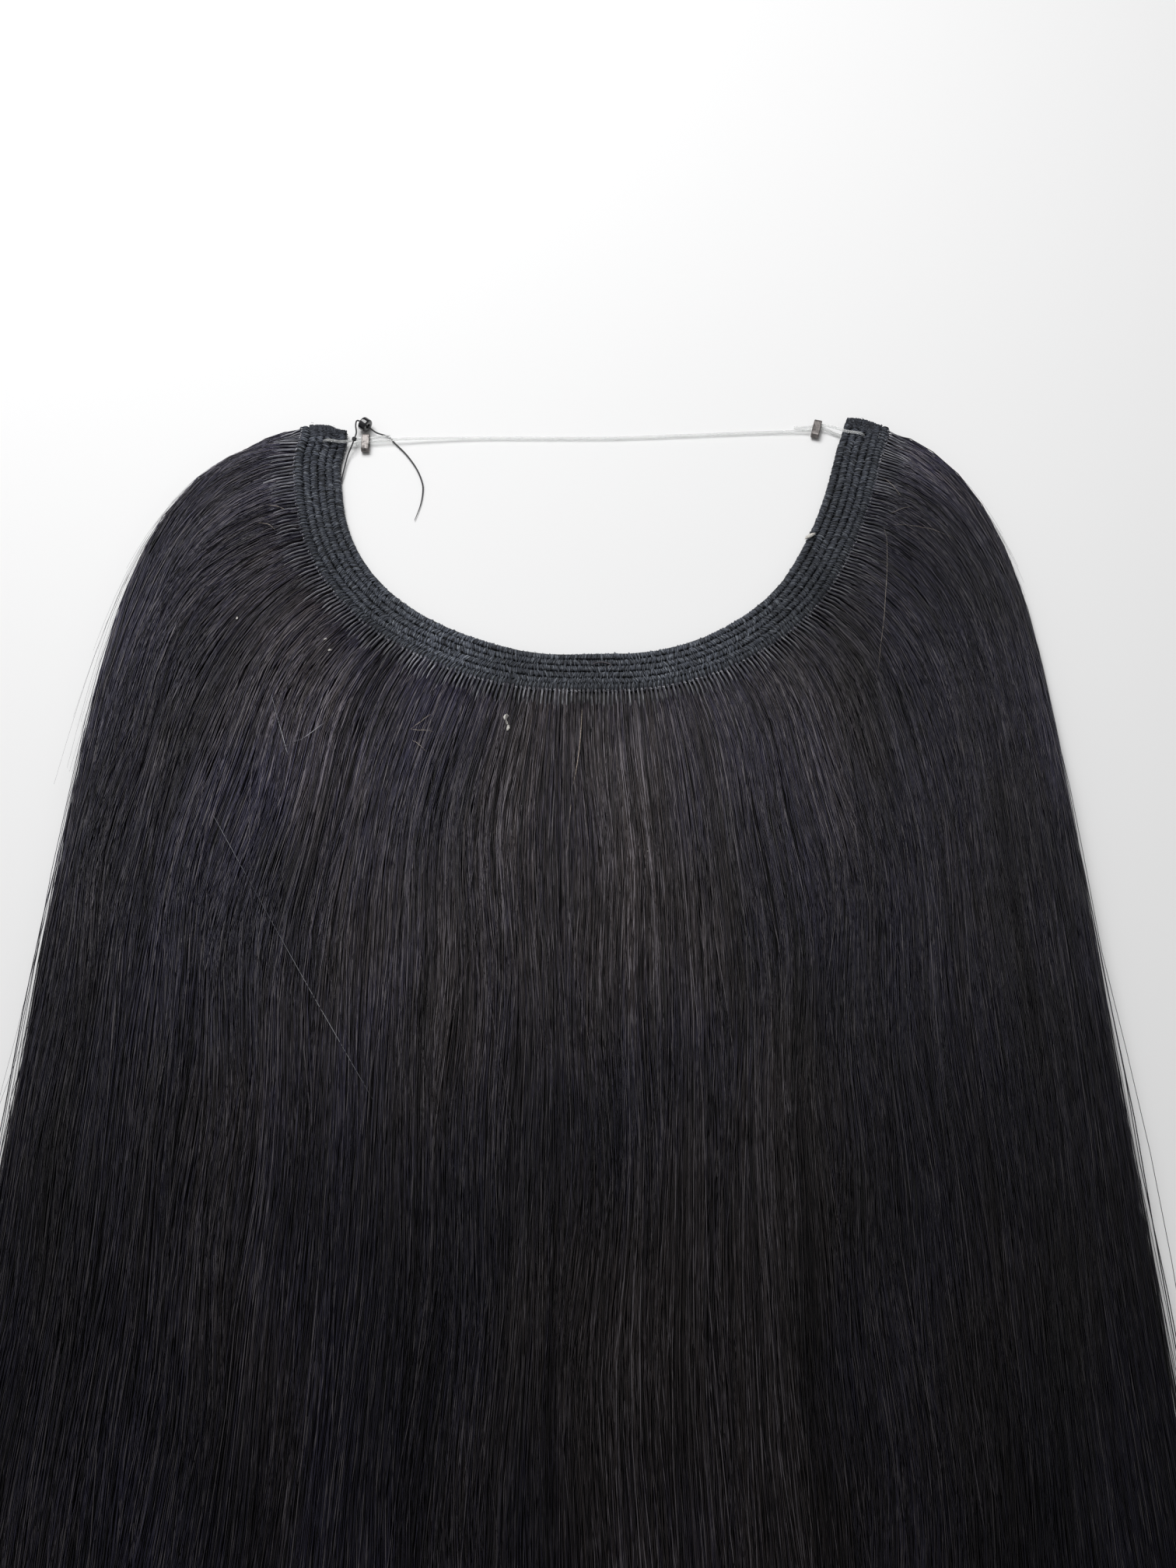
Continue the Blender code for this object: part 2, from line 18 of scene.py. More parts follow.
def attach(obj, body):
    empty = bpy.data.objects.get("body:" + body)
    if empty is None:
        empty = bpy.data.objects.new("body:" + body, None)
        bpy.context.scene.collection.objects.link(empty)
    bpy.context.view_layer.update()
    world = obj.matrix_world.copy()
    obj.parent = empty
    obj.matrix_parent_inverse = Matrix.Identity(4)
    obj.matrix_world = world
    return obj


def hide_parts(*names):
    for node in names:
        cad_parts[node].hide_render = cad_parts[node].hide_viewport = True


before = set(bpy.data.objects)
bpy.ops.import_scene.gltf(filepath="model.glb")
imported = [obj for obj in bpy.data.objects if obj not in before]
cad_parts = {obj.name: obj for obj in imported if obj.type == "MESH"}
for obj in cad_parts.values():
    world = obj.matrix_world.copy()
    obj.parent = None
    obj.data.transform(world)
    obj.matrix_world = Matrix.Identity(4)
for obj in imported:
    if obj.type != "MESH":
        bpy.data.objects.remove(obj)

LOG = logging.getLogger("halo")
BODY = "root"
CENTRE = np.array((0.004732, 0.244418, 0.0))  # centre of the U in the model's frame
Colour = Spot = tuple[float, float, float]
MM = 1000.0  # millimetres in a metre
TOOTH_PITCH = 0.00122  # from tooth to tooth of the seam's comb
CROWDING = 1.5  # how strongly the points of a hair's path crowd towards its root
NOISE = (0.36, 0.66)  # where most values of a noise texture lie


class Slot(Enum):
    """Material slots of the record, one for each kind of new piece."""

    WEFT = "stitched_weft"
    HAIR = "hair"
    NYLON = "clear_nylon"
    THREAD = "thread"
    BEAD = "bead"


# Small tools


def link(name: str, data: bpy.types.ID, finish: "Finish") -> bpy.types.Object:
    """Links an object with its finish.

    Args:
        name: The object's name.
        data: Its mesh or curve.
        finish: Its finish.

    Returns:
        The new object.
    """
    data.materials.append(finish.make())
    piece = bpy.data.objects.new(name, data)
    bpy.context.scene.collection.objects.link(piece)
    return piece


def keep(
    name: str, data: bpy.types.ID, finish: "Finish", slot: Slot, *nodes: str
) -> bpy.types.Object:
    """Makes a piece that rides on the body, in place of nodes.

    Args:
        name: The piece's name.
        data: Its mesh or curve.
        finish: Its finish.
        slot: The record's material slot; not used.
        nodes: CAD nodes that the piece stands for.

    Returns:
        The piece.
    """
    piece = link(name, data, finish)
    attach(piece, BODY)
    if nodes:
        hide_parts(*nodes)
    LOG.info("made %s", name)
    return piece


def dress(name: str, finish: "Finish") -> None:
    """Gives a CAD node its finish.

    Args:
        name: The node's name.
        finish: The finish.
    """
    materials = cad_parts[name].data.materials
    materials.clear()
    materials.append(finish.make())
    LOG.info("dressed %s", name)


def mesh_of(shape: bmesh.types.BMesh, name: str, sharp: float = 50.0) -> bpy.types.Mesh:
    """Turns a bmesh into a smooth-shaded mesh with its faces pointing out.

    Args:
        shape: The bmesh, which is freed.
        name: The mesh's name.
        sharp: Edges over this many degrees stay sharp.

    Returns:
        The mesh.
    """
    bmesh.ops.recalc_face_normals(shape, faces=shape.faces[:])
    mesh = bpy.data.meshes.new(name)
    shape.to_mesh(mesh)
    shape.free()
    mesh.shade_smooth()
    mesh.set_sharp_from_angle(angle=math.radians(sharp))
    return mesh


def smooth_curve(points: np.ndarray, steps: int) -> np.ndarray:
    """Reads a smooth curve through points.

    Args:
        points: The points, a row each.
        steps: Parts to each stretch between two points.

    Returns:
        The curve's points, a row each.
    """
    p = np.array(points, float)
    p = np.vstack([2 * p[0] - p[1], p, 2 * p[-1] - p[-2]])
    t = (np.arange(steps) / steps)[:, None]
    out = []
    for i in range(1, len(p) - 2):
        a, b, c, d = p[i - 1 : i + 3]
        bend = (2 * a - 5 * b + 4 * c - d) * t**2 + (3 * b - a - 3 * c + d) * t**3
        out.append(0.5 * (2 * b + (c - a) * t + bend))
    out.append(p[-2][None, :])
    return np.vstack(out)


def smooth_step(low: float, high: float, value: np.ndarray) -> np.ndarray:
    """Returns 0 below low, 1 above high and a smooth step between them."""
    t = np.clip((np.asarray(value, float) - low) / (high - low), 0.0, 1.0)
    return t * t * (3.0 - 2.0 * t)


def unit(rows: np.ndarray) -> np.ndarray:
    """Returns vectors of length 1 along the last axis."""
    return rows / np.maximum(np.linalg.norm(rows, axis=-1, keepdims=True), 1e-12)


def raised(plan: np.ndarray, height: np.ndarray) -> np.ndarray:
    """Returns points in plan with their heights added."""
    return np.concatenate([plan, height[..., None]], axis=-1)


def fibre_mesh(
    name: str, lines: np.ndarray, radii: np.ndarray, tones: np.ndarray, sides: int = 3
) -> bpy.types.Mesh:
    """Joins many thin closed fibres into one mesh, from arrays.

    Args:
        name: The mesh's name.
        lines: Middle lines, (fibres, points, 3).
        radii: Radius at each point, (fibres, points).
        tones: Lightness, warmth and gloss of each fibre, (fibres, 3).
        sides: Sides of a fibre's section.

    Returns:
        A mesh with the colour attribute "fibre": lightness, warmth, gloss, and place along it.
    """
    count, points, _ = lines.shape
    along = unit(np.gradient(lines, axis=1))
    up = np.zeros_like(along)
    up[..., 2] = 1.0
    steep = np.abs(along[..., 2]) > 0.97
    up[steep] = (0.0, 1.0, 0.0)
    side = unit(np.cross(along, up))
    lift = np.cross(side, along)
    turns = math.pi / 2 + 2 * math.pi * np.arange(sides) / sides
    ring = (
        side[:, :, None, :] * np.cos(turns)[None, None, :, None]
        + lift[:, :, None, :] * np.sin(turns)[None, None, :, None]
    )
    spots = lines[:, :, None, :] + ring * radii[:, :, None, None]
    first = (np.arange(count) * points * sides)[:, None, None]
    row = (np.arange(points - 1) * sides)[None, :, None]
    here = np.arange(sides)[None, None, :]
    after = (np.arange(sides) + 1)[None, None, :] % sides
    quads = np.stack(
        [
            first + row + here,
            first + row + after,
            first + row + sides + after,
            first + row + sides + here,
        ],
        axis=-1,
    ).reshape(-1, 4)
    start = first[:, 0] + np.arange(sides)[None, ::-1]
    end = first[:, 0] + (points - 1) * sides + np.arange(sides)[None, :]
    caps = np.concatenate([start, end])
    mesh = bpy.data.meshes.new(name)
    mesh.vertices.add(count * points * sides)
    mesh.vertices.foreach_set("co", spots.reshape(-1).astype(np.float32))
    corners = np.concatenate([quads.reshape(-1), caps.reshape(-1)])
    mesh.loops.add(len(corners))
    mesh.loops.foreach_set("vertex_index", corners.astype(np.int32))
    sizes = np.concatenate([np.full(len(quads), 4), np.full(len(caps), sides)])
    mesh.polygons.add(len(sizes))
    starts = np.concatenate([[0], np.cumsum(sizes)[:-1]])
    mesh.polygons.foreach_set("loop_start", starts.astype(np.int32))
    mesh.polygons.foreach_set("use_smooth", np.ones(len(sizes), bool))
    mesh.update(calc_edges=True)
    shades = np.ones((count, points, sides, 4), np.float32)
    shades[..., :3] = tones[:, None, None, :]
    gone = np.cumsum(np.linalg.norm(np.diff(lines, axis=1), axis=-1), axis=1)
    shades[:, 1:, :, 3] = (gone / gone[:, -1:])[:, :, None]
    shades[:, 0, :, 3] = 0.0
    attribute = mesh.color_attributes.new("fibre", "FLOAT_COLOR", "POINT")
    attribute.data.foreach_set("color", shades.reshape(-1))
    mesh.validate()
    return mesh


# Finishes


class Nodes:
    """A node tree with short ways to add and feed nodes."""

    def __init__(self, tree: bpy.types.NodeTree) -> None:
        """Starts on a node tree."""
        self.tree = tree

    def feed(self, node: bpy.types.Node, values: dict) -> None:
        """Sets a node's inputs, or links those whose value is itself a socket.

        Args:
            node: The node that takes the values.
            values: Numbers, colours or other nodes' outputs, by the inputs' names or numbers.
        """
        for key, value in values.items():
            socket = node.inputs[key]
            if isinstance(value, bpy.types.NodeSocket):
                self.tree.links.new(value, socket)
            elif isinstance(value, tuple) and len(value) == 3 and socket.type == "RGBA":
                socket.default_value = (*value, 1.0)
            else:
                socket.default_value = value

    def add(self, kind: str, out: object, values: dict, **settings: object) -> object:
        """Adds a shader node.

        Args:
            kind: The node's type name after "ShaderNode".
            out: The output to return, by name or number.
            values: What its inputs take.
            settings: Properties of the node.

        Returns:
            The output.
        """
        node = self.tree.nodes.new("ShaderNode" + kind)
        for key, value in settings.items():
            setattr(node, key, value)
        self.feed(node, values)
        return node.outputs[out]

    def group(self, name: str, values: dict) -> object:
        """Places a shared group, which is made on first use.

        Args:
            name: The group's name.
            values: What its inputs take.

        Returns:
            Its outputs.
        """
        makers = {"hair_clouds": cloud_group, "fibre_grain": grain_group}
        tree = bpy.data.node_groups.get(name) or makers[name]()
        return self.add("Group", 0, values, node_tree=tree).node.outputs

    def maths(self, kind: str, a: object, b: object = 0.0, clamp: bool = False) -> object:
        """Returns what a Math node gives, kept from 0 to 1 where clamp is set."""
        return self.add("Math", 0, {0: a, 1: b}, operation=kind, use_clamp=clamp)

    def mix(self, share: object, a: object, b: object) -> object:
        """Returns the first colour with a share of the second."""
        return self.add("Mix", 2, {0: share, 6: a, 7: b}, data_type="RGBA", clamp_factor=True)

    def noise(self, where: object, scale: float, detail: float, rough: float = 0.5) -> object:
        """Returns the value of a noise texture."""
        values = {"Vector": where, "Scale": scale, "Detail": detail, "Roughness": rough}
        return self.add("TexNoise", "Fac", values)

    def spread(
        self, value: object, low: float, high: float, a: float = 0.0, b: float = 1.0
    ) -> object:
        """Returns a value mapped from the range low to high onto a to b."""
        return self.add("MapRange", 0, {0: value, 1: low, 2: high, 3: a, 4: b}, clamp=True)

    def stretched(self, where: object, *scale: float) -> object:
        """Returns coordinates scaled each way by its own share."""
        return self.add("Mapping", 0, {"Vector": where, "Scale": scale})

    def scaled(self, value: object, by: object) -> object:
        """Returns a colour or coordinates times a number."""
        return self.add("VectorMath", 0, {0: value, "Scale": by}, operation="SCALE")

    def bump(self, height: object, strength: float, distance: float) -> object:
        """Returns the normal that a height gives over a distance in metres."""
        return self.add("Bump", 0, {"Strength": strength, "Distance": distance, "Height": height})


class Paint(Nodes):
    """The nodes of a new material, with the place on its piece to start from."""

    def __init__(self, name: str) -> None:
        """Starts a material.

        Args:
            name: The material's name.
        """
        self.material = bpy.data.materials.new(name)
        self.material.use_nodes = True
        super().__init__(self.material.node_tree)
        self.place = self.add("TexCoord", "Object", {})

    def clouds(self, cool: Colour, warm: Colour, warmth: object) -> object:
        """Returns the colour of the clouds that all hair shares, and their painted light and shade."""
        values = {"Place": self.place, "Cool": cool, "Warm": warm, "Warmth": warmth}
        return self.group("hair_clouds", values)

    def grain(self, size: float) -> object:
        """Returns the mask and the height of fibre grain of a size in metres."""
        return self.group("fibre_grain", {"Place": self.place, "Size": size})

    def done(self, values: dict) -> bpy.types.Material:
        """Gives the shader its values and returns the material."""
        self.feed(self.tree.nodes["Principled BSDF"], values)
        return self.material


def new_group(
    name: str, takes: dict[str, str], gives: dict[str, str]
) -> tuple[Nodes, object, bpy.types.Node]:
    """Starts a shader node group.

    Args:
        name: The group's name.
        takes: Kinds of its inputs, by name.
        gives: Kinds of its outputs, by name.

    Returns:
        Its nodes, what comes in, and the node that takes what goes out.
    """
    tree = bpy.data.node_groups.new(name, "ShaderNodeTree")
    for way, kinds in (("INPUT", takes), ("OUTPUT", gives)):
        for key, kind in kinds.items():
            tree.interface.new_socket(name=key, in_out=way, socket_type="NodeSocket" + kind)
    take = tree.nodes.new("NodeGroupInput")
    return Nodes(tree), take.outputs, tree.nodes.new("NodeGroupOutput")


def cloud_group() -> bpy.types.NodeTree:
    """Slow clouds of cooler and warmer hue shared by all hair, with painted light and shade: patches
    of painted sheen and shade, painted shade towards the tips and painted shade at the lower sides.

    Returns:
        The group: a place, two colours and a warmth in, a colour and a painted light-and-shade factor
            out.
    """
    takes = {"Place": "Vector", "Cool": "Color", "Warm": "Color", "Warmth": "Float"}
    n, take, give = new_group("hair_clouds", takes, {"Colour": "Color", "Light": "Float"})
    place = take["Place"]
    x, y, _ = n.add("SeparateXYZ", 0, {0: place}).node.outputs
    hue = n.noise(n.stretched(place, 1.0, 0.42, 1.0), 26.0, 2.0, 0.55)
    beside = n.maths("ABSOLUTE", n.maths("SUBTRACT", x, 0.012))
    side = n.spread(beside, 0.02, 0.11, 0.20, -0.46)
    hue = n.maths("ADD", n.spread(hue, 0.36, 0.64), side)
    hue = n.maths("ADD", hue, take["Warmth"], True)
    # Painted patches of sheen and shade.
    sheen_and_shade_patch = n.noise(n.stretched(place, 1.0, 0.45, 1.0), 30.0, 2.0, 0.6)
    sheen_and_shade_patch = n.spread(sheen_and_shade_patch, *NOISE, 0.68, 1.36)
    # Painted shade towards the tips: 0.40 at low Y, rising to 1.10 near the band.
    shade = n.maths("MULTIPLY", sheen_and_shade_patch, n.spread(y, -0.01, 0.12, 0.40, 1.10))
    # Painted shade at the two sides of the hair, away from the band.
    beside = n.maths("ABSOLUTE", n.maths("ADD", x, 0.035))
    edges = n.spread(beside, 0.05, 0.16, 1.0, 0.46)
    edges = n.maths("MAXIMUM", edges, n.spread(y, 0.13, 0.25))
    colour = n.mix(hue, take["Cool"], take["Warm"])
    n.feed(give, {"Colour": colour, "Light": n.maths("MULTIPLY", shade, edges)})
    return n.tree


def grain_group() -> bpy.types.NodeTree:
    """Fine fibre grain of twisted and stitched hair.

    Returns:
        The group: a place and a size in, a mask from 0 to 1 and a height out.
    """
    gives = {"Mask": "Float", "Height": "Float"}
    n, take, give = new_group("fibre_grain", {"Place": "Vector", "Size": "Float"}, gives)
    finer = n.maths("DIVIDE", 1.0, take["Size"])
    grain = n.noise(n.scaled(take["Place"], finer), 1.0, 3.0, 0.65)
    n.feed(give, {"Mask": n.spread(grain, *NOISE), "Height": grain})
    return n.tree


@dataclass(frozen=True)
class Finish:
    """A finish with a name, from which its material is made once."""

    name: str

    def make(self) -> bpy.types.Material:
        """Returns the material, made on first use."""
        return bpy.data.materials.get(self.name) or self.build()

    def build(self) -> bpy.types.Material:
        """Makes the material."""
        raise NotImplementedError


@dataclass(frozen=True)
class FibreFinish(Finish):
    """Single hairs and threads, whose mesh carries the "fibre" attribute."""

    dark: Colour = (0.0065, 0.0055, 0.0075)
    cool: Colour = (0.048, 0.044, 0.083)
    warm: Colour = (0.063, 0.051, 0.052)
    # pale is the painted glint colour, where a fibre's tone and its painted glints run high.
    pale: Colour = (0.190, 0.172, 0.190)
    roughness: float = 0.42
    specular: float = 0.27
    breaks: float = 52.0
    grain: float = 0.0
    apart: float = 900.0  # how far apart two fibres' own patterns lie

    def build(self) -> bpy.types.Material:
        """Makes the material: each hair's own tone, clouds of hue with painted sheen and shade, and
        painted glints along it.
        """
        n = Paint(self.name)
        fibre = n.add("Attribute", "Color", {}, attribute_name="fibre").node.outputs
        tone, warmth, gloss = n.add("SeparateColor", 0, {0: fibre["Color"]}).node.outputs[:3]
        hue = n.spread(warmth, 0.0, 1.0, -0.45, 0.45)
        colour, light = n.clouds(self.cool, self.warm, hue)
        own = {
            "X": n.maths("MULTIPLY", fibre["Alpha"], self.breaks),
            "Y": n.maths("MULTIPLY", warmth, self.apart),
            "Z": n.maths("MULTIPLY", gloss, self.apart),
        }
        # Painted glints: lighter and darker streaks along each fibre.
        broken = n.noise(n.add("CombineXYZ", 0, own), 1.0, 2.0, 0.6)
        lit = n.maths("ADD", tone, n.spread(broken, *NOISE, -0.30, 0.34), True)
        colour = n.mix(n.spread(lit, 0.0, 0.62), self.dark, colour)
        # Painted glints: the lightest parts turn to the pale colour.
        colour = n.mix(n.spread(lit, 0.70, 1.0), colour, self.pale)
        # Base colour times the clouds' painted light and shade.
        values = {
            "Base Color": n.scaled(colour, light),
            "Roughness": n.spread(gloss, 0.0, 1.0, self.roughness + 0.12, self.roughness - 0.10),
            "Specular IOR Level": self.specular,
        }
        if self.grain:
            _, height = n.grain(self.grain)
            values["Normal"] = n.bump(height, 0.8, self.grain * 0.6)
        return n.done(values)


@dataclass(frozen=True)
class BedFinish(Finish):
    """The dense hair below the single hairs, streaked along its own flow, with painted shade near the
    roots and the shared painted sheen and shade.
    """

    dark: Colour = (0.0090, 0.0080, 0.0100)
    cool: Colour = (0.042, 0.038, 0.054)
    warm: Colour = (0.049, 0.041, 0.041)
    streaks: float = 1500.0
    breaks: float = 16.0
    specular: float = 0.28

    def build(self) -> bpy.types.Material:
        """Makes the material."""
        n = Paint(self.name)
        flow = n.add("TexCoord", "UV", {})
        colour, light = n.clouds(self.cool, self.warm, 0.0)
        fine = n.noise(n.stretched(flow, self.streaks, self.breaks, 1.0), 1.0, 3.0, 0.6)
        colour = n.mix(n.spread(fine, 0.38, 0.64), self.dark, colour)
        # Painted shade: the mass darkens towards its roots, under the seam's comb.
        root = n.spread(n.add("SeparateXYZ", "Y", {0: flow}), 0.020, 0.050, 0.08, 1.0)
        # Base colour times the clouds' painted light and shade and the painted root shade.
        return n.done(
            {
                "Base Color": n.scaled(colour, n.maths("MULTIPLY", light, root)),
                "Roughness": n.spread(fine, 0.3, 0.7, 0.62, 0.42),
                "Specular IOR Level": self.specular,
                "Normal": n.bump(fine, 0.7, 0.0006),
            }
        )


@dataclass(frozen=True)
class WeftFinish(Finish):
    """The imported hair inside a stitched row: dark, fuzzy and matt."""

    deep: Colour = (0.0030, 0.0034, 0.0045)
    lit: Colour = (0.022, 0.025, 0.030)
    grain: float = 0.00045
    roughness: float = 0.72
    specular: float = 0.3

    def build(self) -> bpy.types.Material:
        """Makes the material."""
        n = Paint(self.name)
        mask, height = n.grain(self.grain)
        return n.done(
            {
                "Base Color": n.mix(mask, self.deep, self.lit),
                "Roughness": n.spread(mask, 0.0, 1.0, self.roughness + 0.1, self.roughness - 0.1),
                "Specular IOR Level": self.specular,
                "Normal": n.bump(height, 0.9, 0.0003),
            }
        )


@dataclass(frozen=True)
class NylonFinish(Finish):
    """Clear nylon line with faint drawing marks."""

    tint: Colour = (0.93, 0.94, 0.93)
    marked: Colour = (0.80, 0.82, 0.82)
    roughness: float = 0.20
    solid: float = 0.58

    def build(self) -> bpy.types.Material:
        """Makes the material."""
        n = Paint(self.name)
        marks = n.noise(n.stretched(n.place, 0.25, 1.0, 1.0), 900.0, 2.0)
        return n.done(
            {
                "Base Color": n.mix(n.spread(marks, 0.4, 0.7), self.tint, self.marked),
                "Roughness": n.spread(marks, 0.35, 0.75, self.roughness, self.roughness + 0.12),
                "IOR": 1.53,
                "Transmission Weight": 0.60,
                "Alpha": self.solid,
            }
        )


@dataclass(frozen=True)
class CrimpFinish(Finish):
    """Dull brown-grey metal with random darker tarnish patches and fine brighter brushing streaks."""

    metal: Colour = (0.20, 0.185, 0.178)
    tarnish: Colour = (0.075, 0.068, 0.066)
    bright: Colour = (0.34, 0.31, 0.30)

    def build(self) -> bpy.types.Material:
        """Makes the material."""
        n = Paint(self.name)
        brushed = n.noise(n.stretched(n.place, 1.0, 0.15, 1.0), 5200.0, 2.0)
        dirty = n.spread(n.noise(n.place, 700.0, 3.0, 0.6), 0.42, 0.66)
        colour = n.mix(dirty, self.metal, self.tarnish)
        return n.done(
            {
                "Base Color": n.mix(n.spread(brushed, 0.4, 0.7, 0.0, 0.35), colour, self.bright),
                "Metallic": 0.85,
                "Roughness": n.spread(dirty, 0.0, 1.0, 0.42, 0.62),
                "Normal": n.bump(brushed, 0.35, 0.0001),
            }
        )


@dataclass(frozen=True)
class BeadFinish(Finish):
    """Glossy black plastic with faint handling marks."""

    colour: Colour = (0.006, 0.006, 0.008)
    worn: Colour = (0.016, 0.016, 0.018)

    def build(self) -> bpy.types.Material:
        """Makes the material."""
        n = Paint(self.name)
        rubbed = n.spread(n.noise(n.place, 2600.0, 3.0, 0.6), 0.5, 0.75)
        return n.done(
            {
                "Base Color": n.mix(rubbed, self.colour, self.worn),
                "Roughness": n.spread(rubbed, 0.0, 1.0, 0.07, 0.20),
                "Coat Weight": 0.6,
                "Coat Roughness": 0.05,
            }
        )


@dataclass(frozen=True)
class ThreadFinish(Finish):
    """Twisted dark thread."""

    colour: Colour = (0.030, 0.030, 0.033)
    worn: Colour = (0.085, 0.085, 0.090)
    twist: float = 2600.0
    grain: float = 0.00035

    def build(self) -> bpy.types.Material:
        """Makes the material."""
        n = Paint(self.name)
        mask, _ = n.grain(self.grain)
        values = {"Vector": n.place, "Scale": self.twist, "Distortion": 1.2}
        wave = n.add("TexWave", "Fac", values, wave_type="BANDS", bands_direction="DIAGONAL")
        colour = n.mix(n.spread(wave, 0.2, 0.9), self.colour, self.worn)
        return n.done(
            {
                "Base Color": n.mix(n.spread(mask, 0.0, 1.0, 0.0, 0.5), colour, self.colour),
                "Roughness": n.spread(mask, 0.0, 1.0, 0.55, 0.8),
                "Normal": n.bump(wave, 0.6, 0.0001),
            }
        )


@dataclass(frozen=True)
class LintFinish(Finish):
    """Pale, matt lint."""

    colour: Colour = (0.74, 0.72, 0.68)
    deep: Colour = (0.44, 0.42, 0.39)
    grain: float = 0.0004

    def build(self) -> bpy.types.Material:
        """Makes the material."""
        n = Paint(self.name)
        mask, _ = n.grain(self.grain)
        rough = n.spread(mask, 0.0, 1.0, 0.95, 0.8)
        return n.done({"Base Color": n.mix(mask, self.deep, self.colour), "Roughness": rough})


@dataclass(frozen=True)
class FloorFinish(Finish):
    """A pale, smooth table top."""

    colour: Colour = (0.90, 0.90, 0.90)
    cloud: Colour = (0.885, 0.885, 0.888)

    def build(self) -> bpy.types.Material:
        """Makes the material."""
        n = Paint(self.name)
        colour = n.mix(n.noise(n.place, 3.0, 2.0), self.colour, self.cloud)
        return n.done({"Base Color": colour, "Roughness": 0.9, "Specular IOR Level": 0.1})


# Each fibre finish's pale colour is its painted glint colour.
HAIR = FibreFinish("hair_strand")
COMB = FibreFinish(
    "hair_at_seam",
    dark=(0.012, 0.012, 0.014),
    cool=(0.134, 0.137, 0.166),
    warm=(0.134, 0.131, 0.145),
    pale=(0.42, 0.42, 0.45),
    roughness=0.50,
    breaks=2.0,
)
STITCH = FibreFinish(
    "stitch_thread",
    dark=(0.009, 0.010, 0.013),
    cool=(0.092, 0.102, 0.128),
    warm=(0.088, 0.096, 0.114),
    pale=(0.205, 0.222, 0.250),
    roughness=0.62,
    specular=0.26,
    breaks=2.6,
    grain=0.00030,
)
BROWN = FibreFinish(
    "light_hair",
    dark=(0.05, 0.04, 0.033),
    cool=(0.16, 0.13, 0.11),
    warm=(0.24, 0.18, 0.13),
    pale=(0.48, 0.42, 0.37),
    roughness=0.40,
    specular=0.5,
)
BED = BedFinish("hair_mass")
WEFT = WeftFinish("packed_weft")
NYLON = NylonFinish("clear_nylon_line")
CRIMP = CrimpFinish("dull_crimp_metal")
BEAD = BeadFinish("black_gloss")
THREAD = ThreadFinish("dark_thread")
LINT = LintFinish("pale_lint")
FLOOR = FloorFinish("pale_floor")


@dataclass(frozen=True)
class Strand:
    """Fibres that are drawn alike."""

    finish: Finish
    slot: Slot
    radius: float
    light: tuple[float, float]  # middle and spread of their lightness
    thick: tuple = ()  # least and most thickness, as shares of the radius
    taper: tuple = (1.0,)  # shares of the radius along a fibre
    sides: int = 3

    def draw(
        self,
        name: str,
        lines: np.ndarray,
        chance: np.random.Generator,
        lighter: np.ndarray | float = 0.0,
        taper: np.ndarray | float = 1.0,
    ) -> None:
        """Draws the fibres' thickness and tones, and makes them as one piece.

        Args:
            name: The piece's name.
            lines: Middle lines, (fibres, points, 3).
            chance: Random draws.
            lighter: Lightness to add to each fibre.
            taper: More shares of the radius, at each point.
        """
        count = len(lines)
        radii = self.radius * np.array(self.taper) * taper * np.ones(lines.shape[:2])
        if self.thick:
            radii = radii * chance.uniform(*self.thick, count)[:, None]
        tones = chance.uniform(0.0, 1.0, (count, 3))
        tones[:, 0] = np.clip(chance.normal(*self.light, count) + lighter, 0.0, 1.0)
        keep(name, fibre_mesh(name, lines, radii, tones, self.sides), self.finish, self.slot)


# The band's and the hair's forms, as in the part's source


